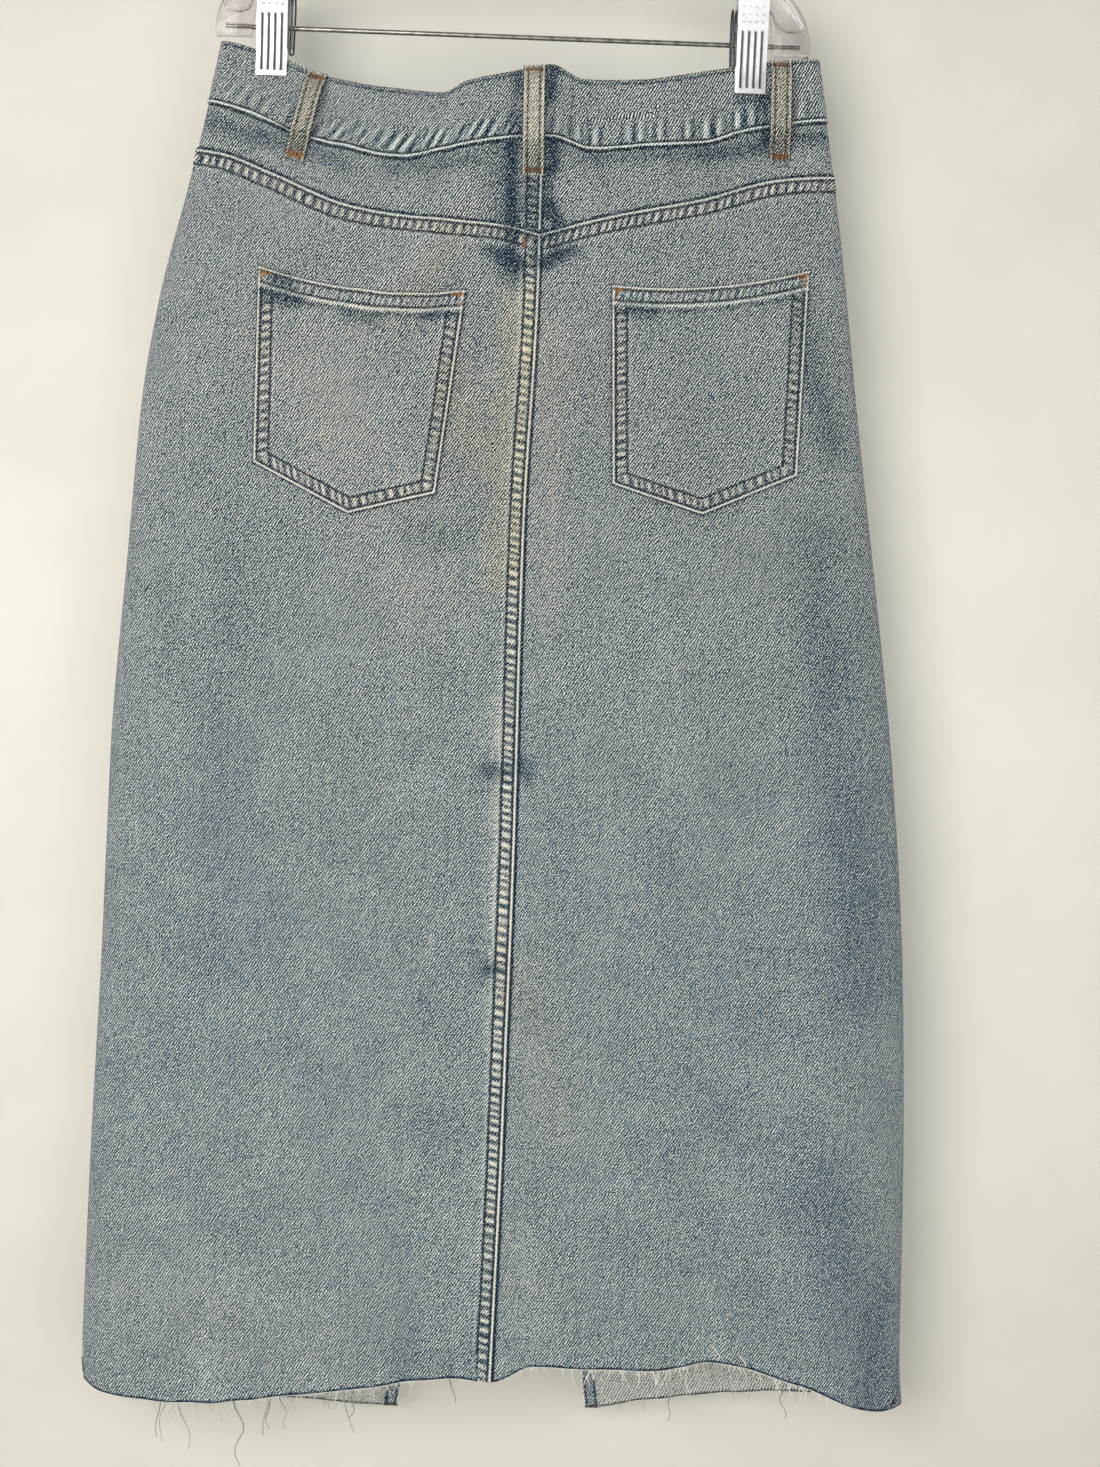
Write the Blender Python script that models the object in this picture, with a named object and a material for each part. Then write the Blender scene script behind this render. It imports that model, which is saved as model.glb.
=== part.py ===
"""A worn denim midi skirt that hangs by its waistband from a clear clip hanger.

Sizes are in millimetres and become metres where a mesh is made.  x runs from the wearer's left
(minus) to the wearer's right (plus), the back of the skirt faces minus y, and z is up.  "Depth" is
how far a place lies below the hanger's bar.  The origin is the seat of the hanger's hook.

The cloth follows one form, a flattened hollow with a back and a front side that meet at the side
folds.  Each piece of cloth is a wall between two layers of that form, and what is sewn on top of a
piece is a wall of its own, moved further out.
"""
import math
import random
from collections import namedtuple

import bmesh
import bpy
import numpy as np
from mathutils import Vector

MM = 0.001
BACK = -1
FRONT = 1

# Hanger
BAR_DROP = 105.0
BAR_RADIUS = 1.5
BAR_HALF_LENGTH = 172.0
HANGER_THICKNESS = 9.0
HOOK_RADIUS = 20.0
HOOK_WIRE = 1.75
HOOK_SOCKET = 14.0
HOOK_ARC_START = -52.0
HOOK_ARC_SWEEP = 244.0
BOSS_TOP = 61.0
CLIP_WIDTH = 17.5
CLIP_LEFT_X = -143.8
CLIP_RIGHT_X = 143.0
JAW_PLATE = 1.0
JAW_FLANGE = 0.9
SPRING_WIRE = 0.6

# Cloth
DENIM = 1.5
BAND_CLOTH = 2.2
STRAP_CLOTH = 1.6
SEAM_GAP = 0.3
LAYER_GAP = 0.4
SEAM_RAISE = 0.9
SEAM_WIDTH = 8.5
SEAM_STEP = 0.9
HELD_HALF_GAP = 0.35

# Centre lines, slit and front fastening
CENTRE_FRONT_X = 18.0
SLIT_TOP = 430.0
SLIT_FOOT = 828.0
SLIT_HALF_OPENING = 57.0
SLIT_HEM_WIDTH = 9.0
SLIT_HEM_FOLD = 1.2
BAND_LAP = 16.0
BAND_UNDERLAP = 18.0
LAP_FLAT = 40.0
LAP_EASE = 18.0
ZIP_WIDTH = 26.0
ZIP_TOP = 92.0
ZIP_FOOT = 235.0
ZIP_TAPE = 1.2
BUTTON_RADIUS = 8.5
BUTTON_HEIGHT = 4.2
BUTTON_SIDES = 20

# How far the clips' grip reaches from their middle and below the bar
GRIP_HALF_WIDTH = 9.6
GRIP_REACH = 52.0
GRIP_DEPTH = 38.0
GRIP_END = 130.0

# The flattened tube: outer edges and the half depths of its hollow
Section = namedtuple("Section", "depth left right back_half front_half")
SECTIONS = (
    Section(0, -172.4, 182.4, 7.0, 8.0),
    Section(46, -180.7, 190.2, 10.0, 11.0),
    Section(75, -186.4, 195.0, 13.0, 14.0),
    Section(105, -192.9, 199.8, 16.0, 18.0),
    Section(136, -200.2, 204.2, 18.5, 21.0),
    Section(166, -206.2, 208.2, 20.0, 23.0),
    Section(226, -214.1, 216.0, 22.5, 26.0),
    Section(316, -219.0, 229.0, 25.0, 29.0),
    Section(437, -224.8, 245.0, 27.0, 31.0),
    Section(557, -225.6, 255.4, 29.0, 33.0),
    Section(677, -227.6, 260.2, 30.5, 34.0),
    Section(797, -228.2, 262.4, 32.0, 35.0),
    Section(830, -227.4, 264.5, 32.0, 35.0),
    Section(880, -227.4, 264.5, 32.0, 35.0),
)

# Seam and edge lines of the cloth: how deep each lies at a place across
Place = namedtuple("Place", "x depth")
WAIST_BACK = (
    Place(-178, 8.4), Place(-163, 11.0), Place(-132, 20.8), Place(-115, 27.8), Place(-78, 35.0),
    Place(-40, 36.8), Place(-26, 29.5), Place(5, 22.4), Place(24, 18.8), Place(42, 25.8),
    Place(77, 24.8), Place(124, 15.2), Place(154, 9.6), Place(188, 6.6),
)
WAIST_FRONT = (
    Place(-178, 8.4), Place(-144, 15.5), Place(-80, 35.0), Place(18, 43.0), Place(90, 32.0),
    Place(143, 13.0), Place(188, 6.6),
)
BAND_SEAM_BACK = (
    Place(-184, 46.0), Place(-161, 51.6), Place(-136, 61.4), Place(-100, 72.7), Place(-62, 78.4),
    Place(-38, 72.0), Place(8, 64.1), Place(26, 63.6), Place(48, 69.0), Place(84, 65.7),
    Place(114, 61.8), Place(145, 51.8), Place(170, 47.4), Place(194, 44.0),
)
BAND_SEAM_FRONT = (
    Place(-184, 46.0), Place(-144, 56.0), Place(-80, 74.5), Place(18, 83.0), Place(90, 72.5),
    Place(143, 54.0), Place(194, 44.0),
)
YOKE_SEAM = (
    Place(-190, 73.6), Place(-169, 77.1), Place(-138, 88.8), Place(-92, 107.0), Place(-62, 111.6),
    Place(-3, 115.5), Place(22, 120.0), Place(56, 109.5), Place(115, 95.1), Place(160, 80.6),
    Place(198, 76.0),
)
HEM_BACK = (
    Place(-228, 812.0), Place(-214, 818.0), Place(-184, 820.0), Place(-153, 819.4),
    Place(-82, 809.4), Place(0, 797.4), Place(18, 799.0), Place(42, 788.8), Place(117, 788.7),
    Place(144, 783.6), Place(201, 796.9), Place(250, 813.0), Place(264, 809.0),
)
HEM_FRONT = (
    Place(-228, 812.3), Place(-180, 825.0), Place(-100, 828.4), Place(-40, 831.8),
    Place(76, 828.5), Place(109, 822.0), Place(157, 815.7), Place(224, 810.3), Place(264, 809.3),
)
SeamPlace = namedtuple("SeamPlace", "depth x")
CENTRE_BACK = (
    SeamPlace(60, 21.0), SeamPlace(160, 21.8), SeamPlace(300, 18.8), SeamPlace(515, 20.4),
    SeamPlace(660, 20.0), SeamPlace(820, 18.0),
)

# The largest soft folds: where a ridge (out above 0) or trough runs, and how wide it is
Fold = namedtuple("Fold", "side x_top depth_top x_foot depth_foot width out")
FOLDS = (
    Fold(BACK, 24, 4, 20, 92, 17, 3.0),
    Fold(BACK, -44, 18, -46, 100, 17, -2.4),
    Fold(BACK, 56, 10, 52, 96, 17, -2.0),
    Fold(BACK, -4, 112, -58, 250, 24, 1.4),
    Fold(BACK, -34, 250, -120, 480, 34, 2.2),
    Fold(BACK, 46, 124, 96, 360, 30, -1.4),
    Fold(BACK, -170, 250, -176, 830, 34, 2.6),
    Fold(BACK, -98, 380, -118, 835, 36, -2.4),
    Fold(BACK, -46, 560, -50, 835, 32, 2.4),
    Fold(BACK, 84, 330, 96, 835, 36, 2.4),
    Fold(BACK, 158, 300, 168, 835, 36, -2.6),
    Fold(BACK, 214, 420, 222, 835, 26, 2.2),
    Fold(FRONT, -60, 130, -150, 420, 34, 2.4),
    Fold(FRONT, 96, 130, 170, 400, 34, 2.4),
    Fold(FRONT, -120, 300, -128, 850, 38, 3.0),
    Fold(FRONT, -62, 430, -92, 850, 30, -2.6),
    Fold(FRONT, 104, 420, 122, 850, 32, -2.6),
    Fold(FRONT, 168, 280, 176, 850, 38, 3.0),
)

# Patch pockets on the back: corners and how far the top edge sags between them
POCKET_HEM = 13.0
Pocket = namedtuple("Pocket", "name top_left top_right foot_left tip foot_right sag")
POCKETS = (
    Pocket("pocket_left", Place(-145.8, 145.2), Place(-21.0, 156.4), Place(-143.9, 263.3),
           Place(-86.0, 292.3), Place(-34.4, 278.7), 7.0),
    Pocket("pocket_right", Place(64.1, 149.3), Place(181.9, 134.7), Place(68.6, 268.7),
           Place(123.2, 284.7), Place(179.0, 258.8), 6.0),
)

# Belt loops: where each one's middle starts and ends
LOOP_WIDTH = 13.2
LOOP_BOW = 5.6
Loop = namedtuple("Loop", "name side top foot")
LOOPS = (
    Loop("belt_loop_back_left", BACK, Place(-115.3, 27.2), Place(-127.9, 80.6)),
    Loop("belt_loop_back_centre", BACK, Place(14.1, 20.0), Place(15.4, 86.0)),
    Loop("belt_loop_back_right", BACK, Place(161.2, 8.9), Place(162.4, 70.0)),
    Loop("belt_loop_front_left", FRONT, Place(-84.0, 34.6), Place(-88.0, 86.0)),
    Loop("belt_loop_front_right", FRONT, Place(113.0, 24.6), Place(116.0, 76.0)),
)

# Loose threads of the cut hem: each row is one run of the edge
Fringe = namedtuple("Fringe", "name side x_from x_to count shortest longest seed")
FRINGES = (
    Fringe("fringe_back_left", BACK, -186, 8, 24, 3, 13, 3),
    Fringe("fringe_back_right", BACK, 32, 226, 20, 3, 9, 5),
    Fringe("fringe_front_left", FRONT, -186, -54, 12, 3, 12, 7),
    Fringe("fringe_front_right", FRONT, 92, 226, 14, 3, 9, 11),
)
LongThread = namedtuple("LongThread", "side x length")
LONG_THREADS = (
    LongThread(BACK, -176, 22), LongThread(BACK, -166, 30), LongThread(BACK, -134, 38),
    LongThread(BACK, -110, 24), LongThread(BACK, -68, 26), LongThread(BACK, -58, 20),
    LongThread(BACK, -6, 16), LongThread(BACK, 104, 14), LongThread(BACK, 188, 15),
    LongThread(FRONT, -120, 22), LongThread(FRONT, 128, 16), LongThread(FRONT, 196, 18),
)
THREAD_ROOT = 0.7
THREAD_TIP = 0.4
THREAD_SWAY = 3.0
STRIP_THICKNESS = 0.9
STRIP_HEIGHT = 1.4

# The button from its shank up, and the zip's slider from its top down
ButtonRing = namedtuple("ButtonRing", "radius_part height_part")
BUTTON_RINGS = (
    ButtonRing(0.62, 0.0), ButtonRing(0.95, 0.35), ButtonRing(1.0, 0.62), ButtonRing(0.93, 0.9),
    ButtonRing(0.8, 0.86), ButtonRing(0.45, 1.0),
)
SLIDER_DROP = 4.0
SLIDER_THICKNESS = 1.6
SliderStation = namedtuple("SliderStation", "drop half_width")
SLIDER_STATIONS = (SliderStation(0.0, 3.0), SliderStation(4.0, 3.6), SliderStation(10.0, 2.2))

# Half outline of the hanger's plastic body: across, and up from the bar
Corner = namedtuple("Corner", "x up")
HANGER_OUTLINE = (
    Corner(0, BOSS_TOP), Corner(8.5, BOSS_TOP), Corner(10, 56), Corner(20, 52), Corner(60, 49.5),
    Corner(110, 45.5), Corner(145, 40), Corner(164, 31.5), Corner(174, 18), Corner(178, 4),
    Corner(178, -5.5), Corner(156, -5.5), Corner(156, 8), Corner(150.5, 20), Corner(136, 28.5),
    Corner(100, 34.5), Corner(60, 38), Corner(20, 40), Corner(0, 40.5),
)
# One clip jaw from its tip up: plate's distance from the middle plane, and the side flange's depth
Jaw = namedtuple("Jaw", "depth reach flange")
JAW_STATIONS = (
    Jaw(29.5, 3.2, 0.3), Jaw(15.0, 3.4, 0.5), Jaw(6.0, 5.0, 2.2), Jaw(0.0, 6.1, 4.1),
    Jaw(-8.0, 7.4, 3.4), Jaw(-18.0, 10.4, 1.8), Jaw(-29.0, 13.8, 0.4),
)
# One side of a clip's wire spring, from its end up to the top of its loop
Turn = namedtuple("Turn", "reach depth")
SPRING_TURNS = (
    Turn(5.2, 10.0), Turn(6.6, 2.0), Turn(8.6, -8.0), Turn(8.0, -15.0), Turn(4.5, -19.0),
    Turn(0.0, -20.0),
)


def fade(value, start, end):
    """1 up to start, 0 past end, and a smooth fall between them."""
    part = min(max((value - start) / (end - start), 0.0), 1.0)
    return 1 - part * part * (3 - 2 * part)


def blend(low, high, part):
    """The value a part of the way from low to high."""
    return low + (high - low) * part


def curve(rows):
    """A smooth function through rows of (place, value) that doesn't swing past them."""
    places = [float(row[0]) for row in rows]
    values = [float(row[1]) for row in rows]
    rises = [(b - a) / (q - p) for a, b, p, q in zip(values, values[1:], places, places[1:])]
    slopes = [rises[0]]
    for before, after in zip(rises, rises[1:]):
        slopes.append(2 * before * after / (before + after) if before * after > 0 else 0.0)
    slopes.append(rises[-1])

    def at(place):
        place = min(max(place, places[0]), places[-1])
        k = min(int(np.searchsorted(places, place, side="right")) - 1, len(rises) - 1)
        run = places[k + 1] - places[k]
        t = (place - places[k]) / run
        start_part = (1 + 2 * t) * (1 - t) ** 2
        end_part = t * t * (3 - 2 * t)
        bend = t * (1 - t) * run * (slopes[k] * (1 - t) - slopes[k + 1] * t)
        return values[k] * start_part + values[k + 1] * end_part + bend

    return at


left_edge = curve([(row.depth, row.left + DENIM) for row in SECTIONS])
right_edge = curve([(row.depth, row.right - DENIM) for row in SECTIONS])
half_depth = {
    BACK: curve([(row.depth, row.back_half) for row in SECTIONS]),
    FRONT: curve([(row.depth, row.front_half) for row in SECTIONS]),
}
waist_line = {BACK: curve(WAIST_BACK), FRONT: curve(WAIST_FRONT)}
band_seam = {BACK: curve(BAND_SEAM_BACK), FRONT: curve(BAND_SEAM_FRONT)}
yoke_seam = curve(YOKE_SEAM)
hem_line = {BACK: curve(HEM_BACK), FRONT: curve(HEM_FRONT)}
centre_back = curve(CENTRE_BACK)


def x_at(angle, depth):
    """Where a ring angle lies across: 0 is the left side fold and pi the right one."""
    left, right = left_edge(depth), right_edge(depth)
    return (left + right) / 2 - (right - left) / 2 * math.cos(angle)


def angle_at(x, depth):
    """The ring angle of a place across, at a depth."""
    left, right = left_edge(depth), right_edge(depth)
    part = ((left + right) / 2 - x) / ((right - left) / 2)
    return math.acos(min(max(part, -1.0), 1.0))


def grip(x, depth):
    """1 where a clip presses the layers together, falling to 0 away from it."""
    nearest = min(abs(x - CLIP_LEFT_X), abs(x - CLIP_RIGHT_X))
    return fade(nearest, GRIP_HALF_WIDTH, GRIP_REACH) * fade(depth, GRIP_DEPTH, GRIP_END)


def fold_height(x, depth, side):
    """How far the soft folds push the cloth out at a place."""
    height = 0.0
    for fold in FOLDS:
        along = (depth - fold.depth_top) / (fold.depth_foot - fold.depth_top)
        if fold.side != side or not 0 < along < 1:
            continue
        across = (x - blend(fold.x_top, fold.x_foot, along)) / fold.width
        ends = 1 - fade(along, 0.0, 0.25)
        foot = fade(along, 0.75, 1.0) if fold.depth_foot < SLIT_FOOT else 1.0
        height += fold.out * ends * foot * math.exp(-across * across)
    return height


def form(angle, depth, side):
    """A point of the cloth's inner face."""
    x = x_at(angle, depth)
    rounding = math.sin(angle)
    loose = 1 - grip(x, depth)
    hollow = half_depth[side](depth) * rounding * loose
    held = HELD_HALF_GAP * min(1.0, 4 * rounding)
    folds = fold_height(x, depth, side) * loose * min(1.0, 2 * rounding)
    return Vector((x, side * (hollow + held + folds), -BAR_DROP - depth))


def cloth(angle, depth, side, out):
    """A point that lies out millimetres outside the cloth's inner face."""
    turn, drop = 0.004, 1.0
    across = form(angle + turn, depth, side) - form(angle - turn, depth, side)
    down = form(angle, depth + drop, side) - form(angle, depth - drop, side)
    return form(angle, depth, side) + across.cross(down).normalized() * side * out


def settle(angle_for, line):
    """The depth at which a ring angle that depends on depth meets a line across the cloth."""
    depth = line(0.0)
    for _ in range(8):
        depth = line(x_at(angle_for(depth), depth))
    return depth


def plain_material(name, colour, roughness, metallic=0.0, alpha=1.0):
    """A Principled material with one colour and finish."""
    material = bpy.data.materials.new(name)
    material.use_nodes = True
    shader = material.node_tree.nodes["Principled BSDF"]
    shader.inputs["Base Color"].default_value = (*colour, 1.0)
    shader.inputs["Roughness"].default_value = roughness
    shader.inputs["Metallic"].default_value = metallic
    shader.inputs["Alpha"].default_value = alpha
    return material


def add_solid(name, points, faces, material, smooth=True):
    """A named object from points in millimetres, with its faces turned outwards."""
    mesh = bpy.data.meshes.new(name)
    mesh.from_pydata([tuple(point * MM) for point in points], [], faces)
    shell = bmesh.new()
    shell.from_mesh(mesh)
    bmesh.ops.recalc_face_normals(shell, faces=shell.faces)
    shell.to_mesh(mesh)
    shell.free()
    if smooth:
        mesh.shade_smooth()
        mesh.set_sharp_from_angle(angle=math.radians(40))
    mesh.materials.append(material)
    solid = bpy.data.objects.new(name, mesh)
    bpy.context.collection.objects.link(solid)
    return solid


def add_wall(name, inner, outer, material):
    """A closed wall between two grids of points of the same shape."""
    rows, columns = len(inner), len(inner[0])
    points = [point for grid in (inner, outer) for row in grid for point in row]
    layer = rows * columns
    faces = []
    for row in range(rows - 1):
        for column in range(columns - 1):
            corner = row * columns + column
            quad = (corner, corner + 1, corner + columns + 1, corner + columns)
            faces.append(quad)
            faces.append(tuple(layer + index for index in reversed(quad)))
    top = list(range(columns))
    right = [row * columns + columns - 1 for row in range(1, rows)]
    foot = [(rows - 1) * columns + column for column in reversed(range(columns - 1))]
    left = [row * columns for row in reversed(range(1, rows - 1))]
    rim = top + right + foot + left
    for here, following in zip(rim, rim[1:] + rim[:1]):
        faces.append((here, following, layer + following, layer + here))
    return add_solid(name, points, faces, material)


def add_panel(name, side, angles, top, foot, rows, material, layers):
    """A wall of the form: angles(depth) gives the columns, rows(length) the drops from the top.

    Returns the places of its lower edge.
    """
    inner, outer = [], []
    count = len(angles(300.0))
    ends = []
    for column in range(count):
        def here(depth, column=column):
            return angles(depth)[column][0]
        ends.append((settle(here, top), settle(here, foot)))
    drops_by_column = [rows(end - start) for start, end in ends]
    for row in range(len(drops_by_column[0])):
        inner_row, outer_row = [], []
        for column in range(count):
            drop = drops_by_column[column][row]
            depth = ends[column][0] + drop
            angle, from_centre = angles(depth)[column]
            low, high = layers(drop, from_centre, depth)
            inner_row.append(cloth(angle, depth, side, low))
            outer_row.append(cloth(angle, depth, side, high))
        inner.append(inner_row)
        outer.append(outer_row)
    add_wall(name, inner, outer, material)
    return [(x_at(angles(foot_depth)[column][0], foot_depth), foot_depth)
            for column, (_, foot_depth) in enumerate(ends)]


# Columns of every piece of cloth, as parts of the way from a side fold to the centre seam's strip;
# they crowd at the fold and on both sides of each clip
COLUMN_PARTS = {
    -1: (0.0, 0.05, 0.11, 0.17, 0.225, 0.272, 0.34, 0.396, 0.45, 0.51, 0.58, 0.66, 0.76, 0.88, 1.0),
    1: (0.0, 0.05, 0.11, 0.18, 0.25, 0.32, 0.389, 0.452, 0.509, 0.56, 0.62, 0.69, 0.78, 0.89, 1.0),
}
STRIP_PLACES = (SEAM_WIDTH + SEAM_STEP, SEAM_WIDTH, 0.0)


def cloth_columns(side, hand, centre):
    """Columns from a side fold to a centre line: each has its ring angle and distance from it.

    hand is -1 for a piece left of the centre line and 1 for one right of it.
    """
    def angles(depth):
        inset = SEAM_GAP / 2 / half_depth[side](depth)
        fold = inset if hand < 0 else math.pi - inset
        edge_x = centre(depth) + hand * SEAM_GAP / 2
        strip_x = [edge_x + hand * distance for distance in STRIP_PLACES]
        start = angle_at(strip_x[0], depth)
        columns = [(blend(fold, start, part), STRIP_PLACES[0] + 1.0)
                   for part in COLUMN_PARTS[hand][:-1]]
        columns += [(angle_at(x, depth), abs(x - edge_x)) for x in strip_x]
        return columns

    return angles


def rows_below(first_rows, count):
    """Rows for a skirt panel: the given drops at its top, then an even run to the hem."""
    def rows(length):
        start = first_rows[-1]
        step = (length - start) / count
        return list(first_rows[:-1]) + [start + step * k for k in range(count + 1)]

    return rows


def even_rows(count):
    """Rows that divide a piece's height evenly."""
    return lambda length: [length * k / count for k in range(count + 1)]


def make_back_panels(material):
    """The two back panels, each with the seam strips that lap over its neighbours."""
    def layers(laps_centre):
        def at(drop, from_centre, _depth):
            on_strip = drop <= SEAM_WIDTH or (laps_centre and from_centre <= SEAM_WIDTH)
            return 0.0, DENIM + (SEAM_RAISE if on_strip else 0.0)

        return at

    edges = {}
    for name, hand in (("back_left", -1), ("back_right", 1)):
        columns = cloth_columns(BACK, hand, centre_back)
        rows = rows_below((0.0, SEAM_WIDTH, SEAM_WIDTH + SEAM_STEP), 19)
        edges[name] = add_panel(name, BACK, columns, lambda x: yoke_seam(x) + SEAM_GAP,
                                hem_line[BACK], rows, material, layers(hand < 0))
    return edges


def make_yokes(material):
    """The two back yoke pieces between the waistband and the back panels."""
    for name, hand in (("yoke_left", -1), ("yoke_right", 1)):
        columns = cloth_columns(BACK, hand, centre_back)
        add_panel(name, BACK, columns, lambda x: band_seam[BACK](x) + SEAM_GAP, yoke_seam,
                  even_rows(4), material, lambda *_: (0.0, DENIM))


def slit_half_opening(depth):
    """How far each edge of the front slit hangs from the centre front."""
    return SLIT_HALF_OPENING * max(0.0, (depth - SLIT_TOP) / (SLIT_FOOT - SLIT_TOP))


def make_front_panels(material):
    """The two front panels: a seam above the slit, and a turned-in hem along each slit edge."""
    def layers(laps_centre):
        def at(_drop, from_centre, depth):
            on_strip = from_centre <= SLIT_HEM_WIDTH - SEAM_STEP / 2
            if on_strip and depth > SLIT_TOP:
                return -SLIT_HEM_FOLD, DENIM
            return 0.0, DENIM + (SEAM_RAISE if on_strip and laps_centre else 0.0)

        return at

    edges = {}
    for name, hand in (("front_left", -1), ("front_right", 1)):
        def edge(depth, hand=hand):
            return CENTRE_FRONT_X + hand * slit_half_opening(depth)

        columns = cloth_columns(FRONT, hand, edge)
        rows = rows_below((0.0, 10.0, 22.0, 36.0), 19)
        edges[name] = add_panel(name, FRONT, columns, lambda x: band_seam[FRONT](x) + SEAM_GAP,
                                hem_line[FRONT], rows, material, layers(hand < 0))
    return edges


def band_columns():
    """The waistband's columns, from its lapping end round the left side to its underlap.

    Each has its side, its ring angle as a function of depth, and how far it is lifted outwards.
    """
    def at_x(x):
        return lambda depth: angle_at(x, depth)

    def from_panel(side, hand, centre, outward):
        angles = cloth_columns(side, hand, centre)
        order = range(len(angles(50.0)))
        order = reversed(order) if outward else order
        return [(side, lambda depth, k=k: angles(depth)[k][0]) for k in order]

    def centre_front(_depth):
        return CENTRE_FRONT_X

    lap_places = (BAND_LAP, BAND_LAP / 2)
    columns = [(FRONT, at_x(CENTRE_FRONT_X + place)) for place in lap_places]
    columns += from_panel(FRONT, -1, centre_front, True)
    columns += from_panel(BACK, -1, centre_back, False)
    columns += from_panel(BACK, 1, centre_back, True)
    columns += from_panel(FRONT, 1, centre_front, False)
    columns += [(FRONT, at_x(CENTRE_FRONT_X - place)) for place in (BAND_UNDERLAP / 2, BAND_UNDERLAP)]
    lap = BAND_CLOTH + SEAM_GAP
    lifted = []
    for k, (side, angle_for) in enumerate(columns):
        from_lap_end = CENTRE_FRONT_X + BAND_LAP - x_at(angle_for(60.0), 60.0)
        lift = lap * fade(from_lap_end, LAP_FLAT, LAP_FLAT + LAP_EASE) if k < len(columns) / 4 else 0.0
        lifted.append((side, angle_for, lift))
    return lifted


def make_waistband(material):
    """One strip of doubled cloth round the waist, whose ends lap at the centre front."""
    rows = 4
    inner = [[] for _ in range(rows + 1)]
    outer = [[] for _ in range(rows + 1)]
    for side, angle_for, lift in band_columns():
        top = settle(angle_for, waist_line[side])
        foot = settle(angle_for, band_seam[side])
        for row in range(rows + 1):
            depth = blend(top, foot, row / rows)
            inner[row].append(cloth(angle_for(depth), depth, side, lift))
            outer[row].append(cloth(angle_for(depth), depth, side, lift + BAND_CLOTH))
    add_wall("waistband", inner, outer, material)


def make_pocket(pocket, material):
    """A five-sided patch pocket with a hem strip along its sagging top edge."""
    across_parts = (0.0, 0.12, 0.28, 0.46, 0.64, 0.82, 1.0)
    tip_part = (pocket.tip.x - pocket.foot_left.x) / (pocket.foot_right.x - pocket.foot_left.x)
    across_parts = [tip_part if part == 0.46 else part for part in across_parts]

    def top_at(part):
        sag = pocket.sag * 4 * part * (1 - part)
        return blend(pocket.top_left.depth, pocket.top_right.depth, part) + sag

    def foot_at(part):
        if part <= tip_part:
            return blend(pocket.foot_left.depth, pocket.tip.depth, part / tip_part)
        return blend(pocket.tip.depth, pocket.foot_right.depth, (part - tip_part) / (1 - tip_part))

    low = DENIM + LAYER_GAP
    inner, outer = [], []
    for row in range(9):
        inner_row, outer_row = [], []
        for part in across_parts:
            top, foot = top_at(part), foot_at(part)
            start = top + POCKET_HEM + SEAM_STEP
            depth = (top, top + POCKET_HEM)[row] if row < 2 else blend(start, foot, (row - 2) / 6)
            down = (depth - top) / (foot - top)
            x = blend(blend(pocket.top_left.x, pocket.foot_left.x, down),
                      blend(pocket.top_right.x, pocket.foot_right.x, down), part)
            raised = SEAM_RAISE if row < 2 else 0.0
            angle = angle_at(x, depth)
            inner_row.append(cloth(angle, depth, BACK, low))
            outer_row.append(cloth(angle, depth, BACK, low + DENIM + raised))
        inner.append(inner_row)
        outer.append(outer_row)
    add_wall(pocket.name, inner, outer, material)


def make_loop(loop, material):
    """A belt loop, sewn down at both ends and standing off the waistband between them."""
    length = math.hypot(loop.foot.x - loop.top.x, loop.foot.depth - loop.top.depth)
    on_band = BAND_CLOTH + LAYER_GAP
    on_cloth = DENIM + LAYER_GAP
    rise = curve(((0, on_band), (3, on_band), (10, on_band + LOOP_BOW), (22, on_band + LOOP_BOW + 0.2),
                  (length - 20, on_band + LOOP_BOW), (length - 9, on_cloth + 0.6),
                  (length - 5, on_cloth), (length, on_cloth)))
    along = (Vector((loop.foot.x, loop.foot.depth)) - Vector((loop.top.x, loop.top.depth))) / length
    beside = Vector((along.y, -along.x)) * LOOP_WIDTH / 2
    stations = (0, 3, 6.5, 10, 22, length - 20, length - 14.5, length - 9, length - 4, length)
    inner, outer = [], []
    for distance in stations:
        middle = Vector((loop.top.x, loop.top.depth)) + along * distance
        rows = []
        for lift in (0.0, STRAP_CLOTH):
            row = []
            for part in (-1.0, 0.0, 1.0):
                place = middle + beside * part
                base = cloth(angle_at(place.x, place.y), place.y, loop.side, on_cloth)
                stand = rise(distance) - on_cloth + lift
                row.append(base + Vector((0, loop.side * stand, 0)))
            rows.append(row)
        inner.append(rows[0])
        outer.append(rows[1])
    add_wall(loop.name, inner, outer, material)


def thread_rows(fringe):
    """The threads of one fringe, from left to right: place across and length."""
    draw = random.Random(fringe.seed)
    longs = [thread for thread in LONG_THREADS
             if thread.side == fringe.side and fringe.x_from < thread.x < fringe.x_to]
    threads = [(thread.x, thread.length) for thread in longs]
    pitch = (fringe.x_to - fringe.x_from) / fringe.count
    for k in range(fringe.count):
        x = fringe.x_from + pitch * (k + 0.3 + 0.4 * draw.random())
        length = fringe.shortest + (fringe.longest - fringe.shortest) * draw.random() ** 2
        if all(abs(x - other[0]) > 4.0 for other in threads):
            threads.append((x, length))
    return sorted(threads)


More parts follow.
